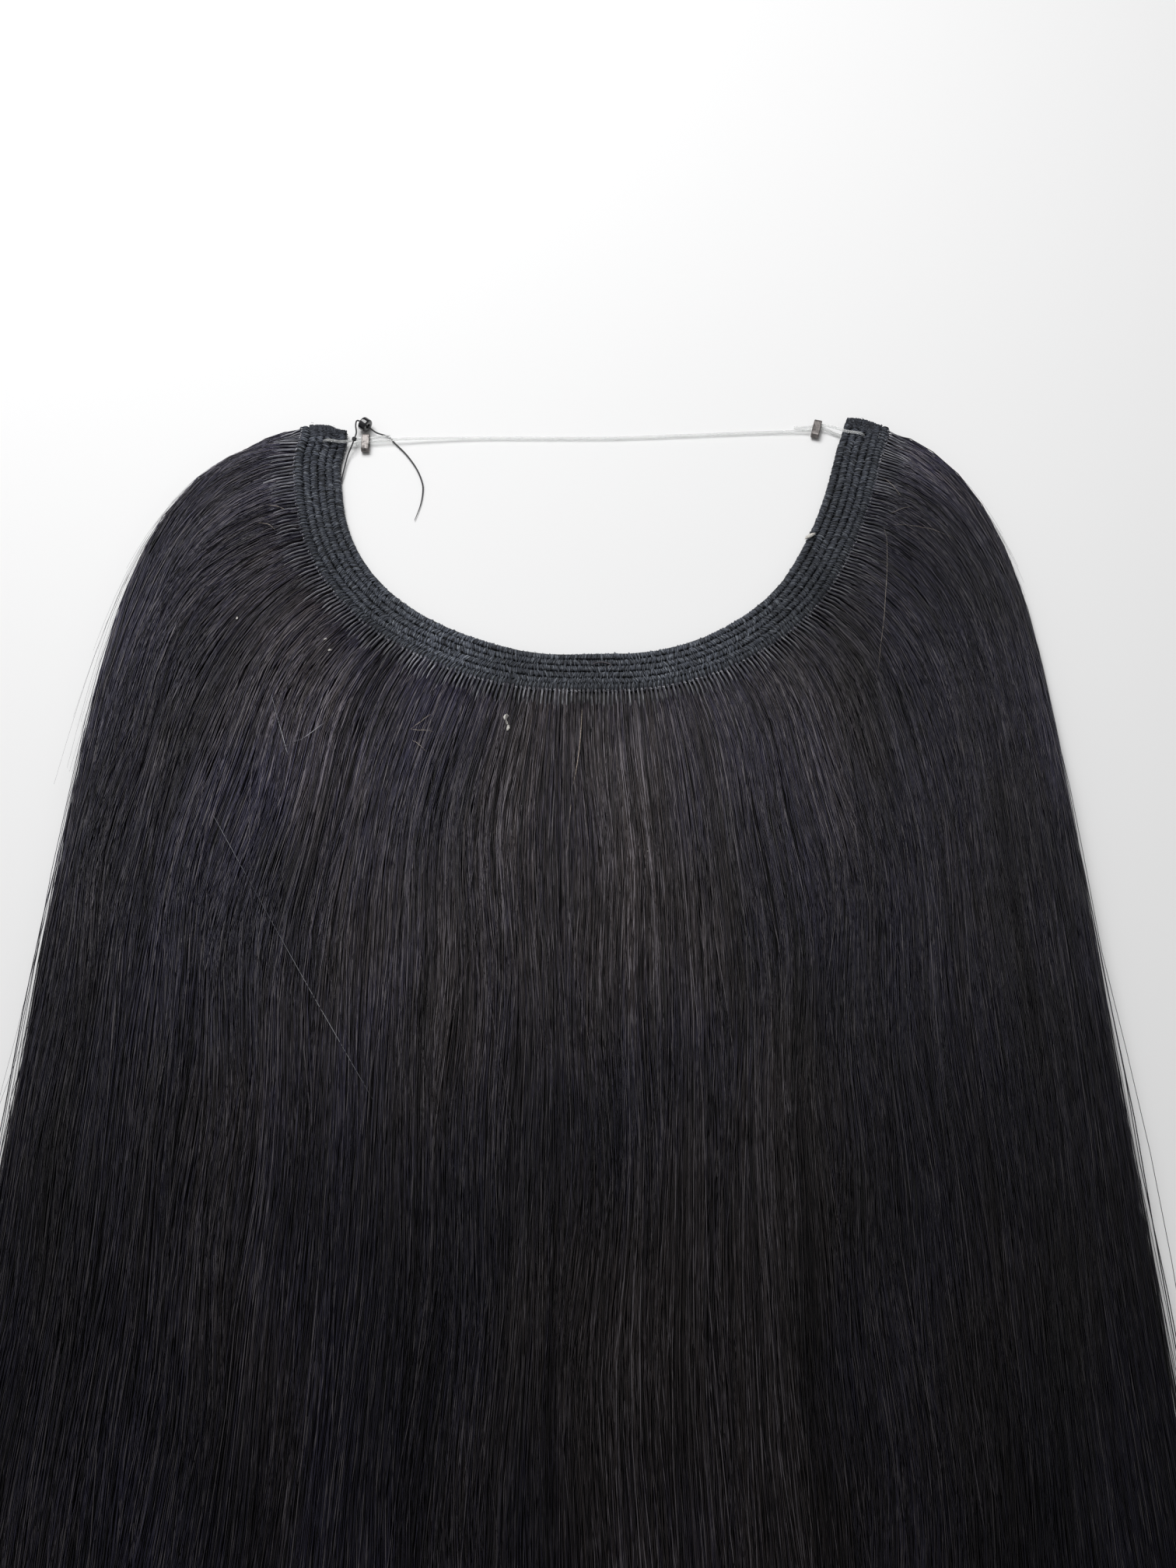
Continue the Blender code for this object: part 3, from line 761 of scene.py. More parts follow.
@dataclass
class BandForm:
    """The band's middle line, rows and heights."""

    radius: float = 0.0920
    rows: int = 5
    row_width: float = 0.0021
    row_gap: float = 0.0003
    row_thickness: float = 0.0020
    row_crown: float = 0.0006
    seam_width: float = 0.0024
    seam_raise: float = 0.0006
    lift: float = 0.0004
    rise: float = 0.0028
    first_angle: float = -0.6
    last_angle: float = 181.4
    # angle from -X by way of -Y in degrees, distance from the centre as a share of the radius
    outline: tuple = (
        (-4.0, 0.953), (0.0, 0.954), (3.5, 0.957), (8.0, 0.978), (15.0, 0.992), (30.0, 1.028),
        (45.0, 1.038), (60.0, 1.024), (75.0, 1.013), (90.0, 1.000), (105.0, 1.016), (120.0, 1.020),
        (135.0, 1.007), (150.0, 0.976), (164.0, 0.967), (173.0, 0.977), (178.0, 0.997),
        (184.0, 1.028),
    )
    # how far each row and the seam run past the two ends, as shares of a row's width
    ends: tuple = (
        (-0.10, 0.70), (0.00, 0.80), (0.40, 0.70), (0.30, 0.40), (0.05, -0.05), (-0.45, -0.35),
    )
    # waves of the inner edge: place along the band, sideways shift as a share of a row's width
    edge_waves: tuple = (
        (0.00, 0.00), (0.12, 0.00), (0.30, -0.12), (0.40, 0.00), (0.47, -0.28), (0.50, 0.05),
        (0.53, 0.18), (0.56, -0.05), (0.66, 0.00), (0.80, 0.10), (1.00, 0.00),
    )
    fine: int = 361

    def __post_init__(self) -> None:
        """Works out the middle line."""
        table = np.array(self.outline)
        smooth = smooth_curve(table, 24)
        angle = np.linspace(self.first_angle, self.last_angle, self.fine)
        radius = np.interp(angle, smooth[:, 0], smooth[:, 1]) * self.radius
        turn = np.radians(angle)
        self.points = np.stack([-radius * np.cos(turn), -radius * np.sin(turn)], axis=1)
        step = np.linalg.norm(np.diff(self.points, axis=0), axis=1)
        self.at = np.concatenate([[0.0], np.cumsum(step)])
        self.length = float(self.at[-1])
        self.along = unit(np.gradient(self.points, self.at, axis=0))
        self.pitch = self.row_width + self.row_gap
        self.width = self.rows * self.pitch + self.seam_width

    def place(self, distance: np.ndarray) -> tuple[np.ndarray, np.ndarray, np.ndarray]:
        """Finds places on the middle line, also past its ends.

        Args:
            distance: Distances from the left end.

        Returns:
            Points, directions and outward normals in plan, in the model's frame.
        """
        distance = np.asarray(distance, float)
        inside = np.clip(distance, 0.0, self.length)
        point = np.stack([np.interp(inside, self.at, self.points[:, k]) for k in (0, 1)], -1)
        along = unit(np.stack([np.interp(inside, self.at, self.along[:, k]) for k in (0, 1)], -1))
        point = point + along * (distance - inside)[..., None] + CENTRE[:2]
        outward = np.stack([along[..., 1], -along[..., 0]], -1)
        return point, along, outward

    def underside(self, offset: np.ndarray) -> np.ndarray:
        """Returns the height of the band's underside at an offset from its inner edge."""
        return self.lift + self.rise * np.asarray(offset) / self.width

    def spots(self, distance: np.ndarray, offset: np.ndarray, height: np.ndarray) -> np.ndarray:
        """Finds points on or over the band.

        Args:
            distance: Distances along it.
            offset: Offsets outwards from its inner edge.
            height: Heights above the floor.

        Returns:
            The points, with a last axis of 3.
        """
        point, _, outward = self.place(distance)
        flat = point + outward * (np.asarray(offset) - self.width / 2)[..., None]
        return raised(flat, np.asarray(height))

    def edge_shift(self, distance: np.ndarray) -> np.ndarray:
        """Returns how far the inner edge waves inwards at a distance."""
        table = np.array(self.edge_waves)
        return np.interp(np.asarray(distance) / self.length, table[:, 0], table[:, 1]) * self.row_width

    @property
    def seam_top(self) -> float:
        """Height of the seam's top."""
        start = self.rows * self.pitch
        return float(self.underside(start)) + self.row_thickness + self.seam_raise


@dataclass
class HairForm:
    """How the hair flows from the band: paths in plan, and heights of its upper side."""

    band: BandForm
    length: float = 0.406
    depth: float = 0.0080
    spread: float = 1.5
    locks: int = 26
    lock_seed: int = 4
    length_spread: float = 0.060
    width_spread: float = 0.90
    bend_power: float = 1.15
    wave_angle: float = 3.0
    wave_length: float = 0.190
    wave_phases: float = 1.7
    # share of the lock's width, height as a share of the ridge, length as a share
    lock_columns: tuple = ((0.00, 0.62, 0.905), (0.38, 1.00, 1.000), (0.70, 0.86, 0.960))
    # place along the band, bend length, degrees of lean at the seam, depth as a share
    bends: tuple = (
        (0.00, 0.042, 14.0, 0.50), (0.03, 0.042, 10.0, 0.80), (0.12, 0.046, 3.0, 1.00),
        (0.25, 0.044, 0.0, 1.00), (0.50, 0.040, 0.0, 1.00), (0.75, 0.036, 0.0, 1.00),
        (0.88, 0.036, 2.0, 1.00), (0.97, 0.040, 7.0, 0.80), (1.00, 0.040, 8.0, 0.50),
    )
    # share of the length, height as a share of the depth, how much of the relief shows
    lines: tuple = (
        (0.000, 0.64, 0.00), (0.012, 0.74, 0.10), (0.035, 0.84, 0.35), (0.075, 0.95, 0.65),
        (0.130, 1.00, 0.85), (0.210, 1.00, 1.00), (0.320, 0.96, 1.00), (0.450, 0.88, 1.00),
        (0.600, 0.76, 1.00), (0.760, 0.60, 1.00), (0.900, 0.40, 1.00), (1.000, 0.16, 0.80),
    )
    fine: int = 260

    def __post_init__(self) -> None:
        """Works out the locks' columns: place, ridge height and length."""
        chance = np.random.default_rng(self.lock_seed)
        lengths = 1.0 - self.length_spread * chance.random(self.locks)
        widths = 1.0 + self.width_spread * chance.random(self.locks)
        starts = np.concatenate([[0.0], np.cumsum(widths)]) / widths.sum()
        rows = []
        for lock in range(self.locks):
            start, width = starts[lock], starts[lock + 1] - starts[lock]
            for share, ridge, length in self.lock_columns:
                rows.append((start + share * width, ridge, length * lengths[lock]))
        _, ridge, length = self.lock_columns[0]
        rows.append((1.0, ridge, length * lengths[-1]))
        self.columns = np.array(rows)

    def reach(self, share: np.ndarray) -> np.ndarray:
        """Returns the hair's length at places along the band."""
        return self.length * np.interp(share, self.columns[:, 0], self.columns[:, 2])

    def height(self, share: np.ndarray, along: np.ndarray) -> np.ndarray:
        """Finds the height of the hair's upper side.

        Args:
            share: Places along the band, from 0 to 1.
            along: Places along the hair, from 0 to 1.

        Returns:
            Heights above the floor.
        """
        table, bends = np.array(self.lines), np.array(self.bends)
        ridge = np.interp(share, self.columns[:, 0], self.columns[:, 1])
        depth = self.depth * np.interp(share, bends[:, 0], bends[:, 3])
        tall = np.interp(along, table[:, 0], table[:, 1])
        relief = np.interp(along, table[:, 0], table[:, 2])
        return depth * tall * (1.0 - relief * (1.0 - ridge))

    def paths(
        self, share: np.ndarray, reach: np.ndarray, places: np.ndarray, sway: np.ndarray
    ) -> np.ndarray:
        """Finds hairs' paths in plan.

        Args:
            share: Roots' places along the band, (hairs,).
            reach: The hairs' lengths, (hairs,).
            places: Where to read the paths, as shares of their length: (points,), or
                (hairs, points) where each hair has its own.
            sway: Extra turn of each hair in radians, (hairs, fine).

        Returns:
            Points in plan, (hairs, points, 2).
        """
        band, bends = self.band, np.array(self.bends)
        point, _, outward = band.place(share * band.length)
        root = point + outward * (band.width / 2)
        leaves = np.arctan2(outward[:, 1], outward[:, 0])
        runs = np.radians(-90.0 + self.spread * (2.0 * share - 1.0))
        turn = (leaves - runs + math.pi) % (2.0 * math.pi) - math.pi
        bend = np.interp(share, bends[:, 0], bends[:, 1])[:, None]
        lean = np.radians(np.interp(share, bends[:, 0], bends[:, 2]))
        turn -= np.copysign(lean, turn)
        along = np.linspace(0.0, 1.0, self.fine)[None, :] ** CROWDING * reach[:, None]
        angle = runs[:, None] + turn[:, None] * np.exp(-((along / bend) ** self.bend_power))
        phase = 2.0 * math.pi * (along / self.wave_length + self.wave_phases * share[:, None])
        swing = math.radians(self.wave_angle) * np.sin(math.pi * np.clip(share, 0.0, 1.0))
        ease = 1.0 - np.exp(-along / bend)
        angle += swing[:, None] * np.sin(phase) * ease + sway * ease
        step = np.diff(along, axis=1)
        middle = 0.5 * (angle[:, 1:] + angle[:, :-1])
        zero = np.zeros((len(share), 1))
        x = root[:, :1] + np.concatenate([zero, np.cumsum(np.cos(middle) * step, 1)], 1)
        y = root[:, 1:] + np.concatenate([zero, np.cumsum(np.sin(middle) * step, 1)], 1)
        at = np.clip(places, 0.0, 1.0) ** (1.0 / CROWDING) * (self.fine - 1)
        at = np.broadcast_to(at, (len(share), at.shape[-1]))
        low = np.minimum(at.astype(int), self.fine - 2)
        part = at - low
        near = [np.take_along_axis(row, low, 1) for row in (x, y)]
        far = [np.take_along_axis(row, low + 1, 1) for row in (x, y)]
        read = [a * (1 - part) + b * part for a, b in zip(near, far)]
        return np.stack(read, axis=-1)

    def samples(self) -> tuple[np.ndarray, np.ndarray]:
        """Samples the hair's upper side.

        Returns:
            Places in plan, (samples, 2), and the heights there.
        """
        share = np.linspace(0.0, 1.0, 160)
        places = np.linspace(0.0, 1.0, 90) ** 1.3
        plan = self.paths(share, self.reach(share), places, np.zeros((1, self.fine)))
        return plan.reshape(-1, 2), self.height(share[:, None], places[None, :]).reshape(-1)


# Sub-assemblies


@dataclass
class Studio:
    """A pale floor, soft light and the camera at the photograph's angle."""

    camera_at: Spot = (0.004732, -0.092242, 0.44627)
    camera_tilt: float = 25.0
    lens: float = 37.5
    floor_size: float = 8.0
    floor_height: float = -0.0003
    key_at: Spot = (-0.22, 0.60, 0.82)
    key_aim: Spot = (0.00, 0.26, 0.0)
    key_size: float = 0.60
    key_power: float = 8.1
    fill_at: Spot = (-0.6, 0.5, 1.1)
    fill_size: float = 1.4
    fill_power: float = 1.4
    sky: float = 0.235

    def build(self) -> None:
        """Sets the stage."""
        scene = bpy.context.scene
        scene.view_settings.view_transform = "Standard"
        self.make_camera(scene)
        self.make_floor()
        self.make_light("key_light", self.key_at, self.key_aim, self.key_size, self.key_power)
        self.make_light("fill_light", self.fill_at, self.key_aim, self.fill_size, self.fill_power)
        world = bpy.data.worlds.new("soft_room")
        world.use_nodes = True
        back = world.node_tree.nodes["Background"]
        back.inputs["Color"].default_value = (1.0, 1.0, 1.0, 1.0)
        back.inputs["Strength"].default_value = self.sky
        scene.world = world

    def make_camera(self, scene: bpy.types.Scene) -> None:
        """Places the camera.

        Args:
            scene: The scene that it belongs to.
        """
        data = bpy.data.cameras.new("camera")
        data.lens = self.lens
        data.sensor_width = 36.0
        data.clip_start = 0.01
        camera = bpy.data.objects.new("camera", data)
        camera.location = self.camera_at
        camera.rotation_euler = (math.radians(self.camera_tilt), 0.0, 0.0)
        scene.collection.objects.link(camera)
        scene.camera = camera

    def make_floor(self) -> None:
        """Lays the floor."""
        shape = bmesh.new()
        bmesh.ops.create_grid(shape, x_segments=8, y_segments=8, size=self.floor_size / 2)
        bmesh.ops.translate(shape, verts=shape.verts[:], vec=(0.0, 0.0, self.floor_height))
        floor = link("floor", mesh_of(shape, "floor"), FLOOR)

    def make_light(
        self, name: str, at: tuple, aim: tuple, size: float, power: float
    ) -> None:
        """Adds a square soft light.

        Args:
            name: The light's name.
            at: Its place.
            aim: What it points at.
            size: Its side.
            power: Its power in watts.
        """
        data = bpy.data.lights.new(name, "AREA")
        data.size = size
        data.energy = power
        light = bpy.data.objects.new(name, data)
        light.location = at
        light.rotation_euler = (Vector(aim) - Vector(at)).to_track_quat("-Z", "Y").to_euler()
        bpy.context.scene.collection.objects.link(light)


@dataclass
class Cord:
    """A round cord as a bevelled curve."""

    name: str
    route: np.ndarray
    diameter: float
    fine_end: int = 0  # how many of the last points taper

    def line(self, steps: int = 10) -> np.ndarray:
        """Returns the smooth line through the route, in the model's frame."""
        return smooth_curve(self.route, steps) + CENTRE

    def build(self, finish: Finish, slot: Slot, node: str) -> bpy.types.Object:
        """Makes the cord.

        Args:
            finish: Its finish.
            slot: The record's material slot.
            node: The CAD node that it stands for.

        Returns:
            The curve's object.
        """
        curve = bpy.data.curves.new(self.name, "CURVE")
        curve.dimensions = "3D"
        curve.bevel_depth = self.diameter / 2
        curve.bevel_resolution = 4
        curve.use_fill_caps = True
        points = self.line()
        spline = curve.splines.new("POLY")
        spline.points.add(len(points) - 1)
        for spot, at in zip(spline.points, points):
            spot.co = (*at, 1.0)
        for back in range(1, self.fine_end + 1):
            spline.points[-back].radius = 0.35 + 0.65 * (back - 1) / self.fine_end
        return keep(self.name, curve, finish, slot, node)


@dataclass
class HaloWire:
    """The clear wire across the open end, looped through the band and back into each crimp."""

    diameter: float = 0.0009
    route: tuple = (
        (-0.0660, -0.0012, 0.0014), (-0.0690, -0.0014, 0.0013), (-0.0724, -0.0018, 0.0011),
        (-0.0756, -0.0019, 0.0011), (-0.0778, -0.0029, 0.0014), (-0.0797, -0.0044, 0.0030),
        (-0.0822, -0.0050, 0.0036), (-0.0850, -0.0050, 0.0043), (-0.0866, -0.0050, 0.0044),
        (-0.0876, -0.0050, 0.0034), (-0.0876, -0.0050, 0.0016), (-0.0868, -0.0050, 0.0006),
        (-0.0850, -0.0049, 0.0005), (-0.0800, -0.0044, 0.0005), (-0.0779, -0.0040, 0.0009),
        (-0.0756, -0.0034, 0.0011), (-0.0724, -0.0033, 0.0011), (-0.0690, -0.0029, 0.0013),
        (-0.0620, -0.0024, 0.0014), (-0.0509, -0.0018, 0.0010), (-0.0353, -0.0013, 0.0005),
        (-0.0120, -0.0013, 0.0005), (0.0098, -0.0012, 0.0005), (0.0320, -0.0002, 0.0005),
        (0.0506, 0.0007, 0.0005), (0.0655, 0.0013, 0.0005), (0.0710, 0.0014, 0.0008),
        (0.0749, 0.0014, 0.0011), (0.0778, 0.0021, 0.0011), (0.0802, 0.0015, 0.0009),
        (0.0826, 0.0004, 0.0005), (0.0890, -0.0019, 0.0005), (0.0905, -0.0024, 0.0006),
        (0.0916, -0.0027, 0.0016), (0.0916, -0.0027, 0.0034), (0.0906, -0.0024, 0.0044),
        (0.0889, -0.0018, 0.0043), (0.0862, -0.0008, 0.0036), (0.0836, 0.0006, 0.0030),
        (0.0803, 0.0029, 0.0015), (0.0774, 0.0036, 0.0011), (0.0746, 0.0028, 0.0011),
        (0.0717, 0.0029, 0.0008), (0.0690, 0.0030, 0.0005),
    )

    def build(self) -> None:
        cord = Cord("wire_line", np.array(self.route), self.diameter)
        wire = cord.build(NYLON, Slot.NYLON, "halo_wire")


@dataclass
class BeadThread:
    """The dark thread with its knot and bead."""

    diameter: float = 0.0005
    route: tuple = (
        (-0.0813, -0.0190, 0.0008), (-0.0806, -0.0140, 0.0009), (-0.0797, -0.0090, 0.0013),
        (-0.0784, -0.0058, 0.0024), (-0.0776, -0.0036, 0.0032), (-0.0771, -0.0010, 0.0031),
        (-0.0776, 0.0024, 0.0024), (-0.0774, 0.0044, 0.0023), (-0.0763, 0.0043, 0.0023),
        (-0.0745, 0.0029, 0.0023), (-0.0728, 0.0016, 0.0021), (-0.0705, 0.0003, 0.0012),
        (-0.0667, -0.0006, 0.00025), (-0.0644, -0.0033, 0.00025), (-0.0603, -0.0080, 0.00025),
        (-0.0568, -0.0135, 0.00025), (-0.0547, -0.0189, 0.00025), (-0.0543, -0.0228, 0.00025),
        (-0.0549, -0.0281, 0.00025), (-0.0565, -0.0339, 0.00025),
    )
    bead_diameter: float = 0.0046
    bead_length: float = 0.0028
    bead_bore: float = 0.0014
    bead_at: tuple[float, float] = (-0.0745, 0.0029)
    bead_turn: float = -38.0
    knot_at: Spot = (-0.0776, -0.0036, 0.0032)
    knot_aim: Spot = (0.25, 0.95, 0.18)
    knot_radius: float = 0.00062
    knot_cord: float = 0.0004
    knot_turns: float = 3.0
    knot_length: float = 0.0011

    def build(self) -> None:
        cord = Cord("thread_line", np.array(self.route), self.diameter, fine_end=24)
        thread = cord.build(THREAD, Slot.THREAD, "tag_thread")
        bead, knot = self.make_bead(), self.make_knot()

    def make_bead(self) -> bpy.types.Object:
        """Turns the bead: a short ring with rounded rims.

        Returns:
            The bead.
        """
        half, outer, inner = self.bead_length / 2, self.bead_diameter / 2, self.bead_bore / 2
        shape = bmesh.new()
        corners = [(-half, inner), (-half, outer), (half, outer), (half, inner)]
        spots = [shape.verts.new((x, 0.0, radius)) for x, radius in corners]
        edges = [shape.edges.new(pair) for pair in zip(spots, spots[1:] + spots[:1])]
        turned = {"axis": (1.0, 0.0, 0.0), "cent": (0.0, 0.0, 0.0), "steps": 48}
        bmesh.ops.spin(shape, geom=spots + edges, angle=2 * math.pi, use_merge=True, **turned)
        bmesh.ops.remove_doubles(shape, verts=shape.verts[:], dist=1e-7)
        rims = [e for e in shape.edges if len(e.link_faces) == 2 and e.calc_face_angle() > 1.0]
        bmesh.ops.bevel(
            shape,
            geom=rims,
            offset=(outer - inner) * 0.34,
            affect="EDGES",
            segments=5,
            profile=0.5,
            material=-1,
        )
        turn = Matrix.Rotation(math.radians(self.bead_turn), 4, "Z")
        at = Vector((*self.bead_at, self.bead_diameter / 2)) + Vector(CENTRE)
        bmesh.ops.transform(shape, matrix=Matrix.Translation(at) @ turn, verts=shape.verts[:])
        return keep("bead_ring", mesh_of(shape, "bead_ring"), BEAD, Slot.BEAD, "bead")

    def make_knot(self) -> bpy.types.Object:
        """Winds the knot: a few tight turns round the thread.

        Returns:
            The knot.
        """
        steps = 60
        part = np.linspace(0.0, 1.0, steps)
        turn = 2 * math.pi * self.knot_turns * part
        swell = self.knot_radius * (0.72 + 0.28 * np.sin(math.pi * part))
        coil = np.stack(
            [(part - 0.5) * self.knot_length, swell * np.cos(turn), swell * np.sin(turn)], 1
        )
        aim = Vector(self.knot_aim).to_track_quat("X", "Z").to_matrix()
        coil = coil @ np.array(aim).T + np.array(self.knot_at) + CENTRE
        tone = np.array([[0.35, 0.3, 0.4]])
        radii = np.full((1, steps), self.knot_cord / 2)
        mesh = fibre_mesh("knot_turns", coil[None], radii, tone, sides=8)
        return keep("knot_turns", mesh, THREAD, Slot.THREAD, "knot")


@dataclass
class StitchedBand:
    """The five stitched rows, their stitches and the folded ends."""

    form: BandForm
    stitch_pitch: float = 0.00106
    pair_gap: float = 0.00046
    slant: float = 0.00034
    wander: float = 0.00012
    crossing: float = 0.28
    seed: int = 11
    fuzz_count: int = 600
    fold_length: float = 0.0044
    fold_hairs: int = 340
    wrap_hairs: int = 100
    stitch: Strand = Strand(
        STITCH, Slot.WEFT, 0.00027, (0.58, 0.11), (0.75, 1.20), (0.65, 0.95, 1.0, 1.0, 0.95, 0.65), 4
    )
    fuzz: Strand = Strand(STITCH, Slot.WEFT, 0.00006, (0.62, 0.25))
    fold: Strand = Strand(
        STITCH, Slot.WEFT, 0.00016, (0.24, 0.14), (0.6, 1.15), (0.4, 0.9, 1.0, 0.9, 0.5)
    )

    def build(self) -> None:
        """Dresses the rows and adds the stitches."""
        for index in range(self.form.rows):
            dress(f"weft_row_{index + 1}", WEFT)
        chance = np.random.default_rng(self.seed)
        for index in range(self.form.rows):
            self.make_stitches(index, chance)
        self.make_fuzz(chance)
        self.make_folds(chance)

    def surface(self, share: np.ndarray) -> np.ndarray:
        """Finds a row's height over its underside.

        Args:
            share: Places across its width, from 0 to 1.

        Returns:
            The heights.
        """
        shares = (0.0, 0.12, 0.5, 0.88, 1.0)
        crowns = (0.55, 0.86, 1.0, 0.86, 0.55)
        crown = np.interp(share, shares, crowns)
        return self.form.row_thickness - self.form.row_crown * (1.0 - (crown - 0.55) / 0.45)

    def ends_at(self, offset: np.ndarray, side: int) -> np.ndarray:
        """Finds how far the band runs past one of its ends.

        Args:
            offset: Offsets from its inner edge.
            side: The end, 0 for the left and 1 for the right.

        Returns:
            The distances.
        """
        form = self.form
        middles = (np.arange(form.rows) + 0.5) * form.pitch
        past = np.array([ends[side] for ends in form.ends[: form.rows]]) * form.row_width
        return np.interp(offset, middles, past)

    def thread_set(
        self, index: int, chance: np.random.Generator
    ) -> tuple[np.ndarray, np.ndarray]:
        """Lays bent threads across a row, a pair for each step along it.

        Args:
            index: The row, counted from the inner edge.
            chance: Random draws.

        Returns:
            The threads' middle lines, and how near each is to an end of the row, from 0 to 1.
        """
        form, pitch, lean, wander = self.form, self.stitch_pitch, self.slant, self.wander
        left, right = (share * form.row_width for share in form.ends[index])
        count = int((form.length + left + right - pitch) / pitch)
        middle = -left + pitch * (0.75 + np.arange(count)) + chance.normal(0, 0.10, count) * pitch
        middle = (middle[:, None] + np.array([-0.5, 0.5])[None, :] * self.pair_gap).reshape(-1)
        count = len(middle)
        middle = middle + chance.normal(0, 0.00006, count)
        from_end = np.minimum(middle + left, form.length + right - middle)
        near = 1.0 - smooth_step(0.001, 0.006, from_end)
        across = np.linspace(0.0, 1.0, 6)
        inner = index * form.pitch - (form.edge_shift(middle) if index == 0 else 0.0)
        inner = np.broadcast_to(inner, middle.shape)
        slow = np.sin(middle / 0.011 + index * 2.1) * 0.5 + np.sin(middle / 0.0047 + index)
        drift = chance.normal(0, wander, count) + slow * wander * 0.6
        edge = -0.10 if index == 0 else 0.0
        start = chance.uniform(-0.14, 0.02, count)[:, None] + edge
        over = np.where(chance.random(count) < self.crossing, 0.22, 0.0)
        end = (chance.uniform(0.97, 1.16, count) + over)[:, None]
        share = start + (end - start) * across[None, :]
        offset = inner[:, None] + share * form.row_width + drift[:, None]
        offset = np.maximum(offset, inner[:, None] - (0.00018 if index == 0 else 0.0003))
        sense = np.where(np.sin(middle / 0.0061 + index * 1.7) > -0.3, 1.0, -0.8)
        shift = lean * sense + chance.normal(0, lean * 0.55, count)
        distance = middle[:, None] + shift[:, None] * (across[None, :] - 0.5) * 2.0
        rise = self.surface(np.clip(share, 0, 1)) + chance.normal(0, 0.00007, count)[:, None]
        height = form.underside(offset) + rise
        height[:, 0] -= 0.0011 if index == 0 else 0.00035
        height[:, -1] -= np.where(over > 0.0, -0.0001, 0.00035)
        return form.spots(distance, offset, height), near

    def make_stitches(self, index: int, chance: np.random.Generator) -> None:
        """Lays a row's stitches over it.

        Args:
            index: The row, counted from the inner edge.
            chance: Random draws.
        """
        lines, near = self.thread_set(index, chance)
        self.stitch.draw(f"row_{index + 1}_stitches", lines, chance, -0.30 * near)

    def short_hairs(
        self,
        distance: np.ndarray,
        offset: np.ndarray,
        half: np.ndarray,
        turn: float,
        chance: np.random.Generator,
    ) -> np.ndarray:
        """Lays short bent hairs on the band's top, mostly across it.

        Args:
            distance: Their middles along the band.
            offset: Their middles' offsets from the inner edge.
            half: Half of their lengths.
            turn: Spread of their turn in radians.
            chance: Random draws.

        Returns:
            Their middle lines.
        """
        form, count = self.form, len(distance)
        way = chance.normal(math.pi / 2, turn, count)
        part = np.linspace(-1.0, 1.0, 5)
        bow = (1.0 - part**2)[None, :] * chance.normal(0.0, 0.0002, count)[:, None]
        run = distance[:, None] + np.cos(way)[:, None] * half[:, None] * part[None, :] + bow
        out = offset[:, None] + np.sin(way)[:, None] * half[:, None] * part[None, :]
        out = np.clip(out, 0.0, form.rows * form.pitch)
        top = form.underside(out) + form.row_thickness
        hump = (1.0 - part**2)[None, :] * chance.uniform(0.0, 0.00030, count)[:, None]
        return form.spots(run, out, top + hump - 0.00012)

    def make_fuzz(self, chance: np.random.Generator) -> None:
        """Strews short loose hairs over the rows.

        Args:
            chance: Random draws.
        """
        form, count = self.form, self.fuzz_count
        distance = chance.uniform(-0.001, form.length + 0.001, count)
        offset = chance.uniform(0.0003, form.rows * form.pitch - 0.0003, count)
        half = chance.uniform(0.0003, 0.0009, count)
        lines = self.short_hairs(distance, offset, half, 0.45, chance)
        self.fuzz.draw("band_fuzz", lines, chance)

    def make_folds(self, chance: np.random.Generator) -> None:
        """Covers the band's two folded ends with matted hair, on top and over the edge.

        Args:
            chance: Random draws.
        """
        form, width = self.form, self.form.rows * self.form.pitch
        lines = []
        for side in (0, 1):
            count = self.fold_hairs
            offset = chance.uniform(0.0006, width - 0.0004, count)
            inward = self.fold_length * chance.uniform(0.06, 1.0, count)
            past = self.ends_at(offset, side) - inward
            distance = form.length + past if side else -past
            half = chance.uniform(0.0005, 0.0014, count)
            lines.append(self.short_hairs(distance, offset, half, 0.26, chance))
            count = self.wrap_hairs
            offset = np.linspace(0.0002, width - 0.0002, count) + chance.normal(0, 0.0001, count)
            past = self.ends_at(offset, side)[:, None]
            runs = np.array([-1.0, -0.45, -0.06, 0.03, 0.05]) * self.fold_length * 0.6
            runs = runs[None, :] * chance.uniform(0.6, 1.2, count)[:, None] + past
            runs += chance.normal(0, 0.00012, count)[:, None]
            top = form.underside(offset) + form.row_thickness
            drop = np.array([-0.0001, 0.00015, -0.00005, -0.0008, -0.0016])
            tall = top[:, None] + drop[None, :] * chance.uniform(0.7, 1.1, count)[:, None]
            sideways = offset[:, None] + chance.normal(0, 0.00022, (count, 5))
            distance = form.length + runs if side else -runs
            lines.append(form.spots(distance, np.clip(sideways, 0.0, width), tall))
        self.fold.draw("end_folds", np.concatenate(lines), chance)


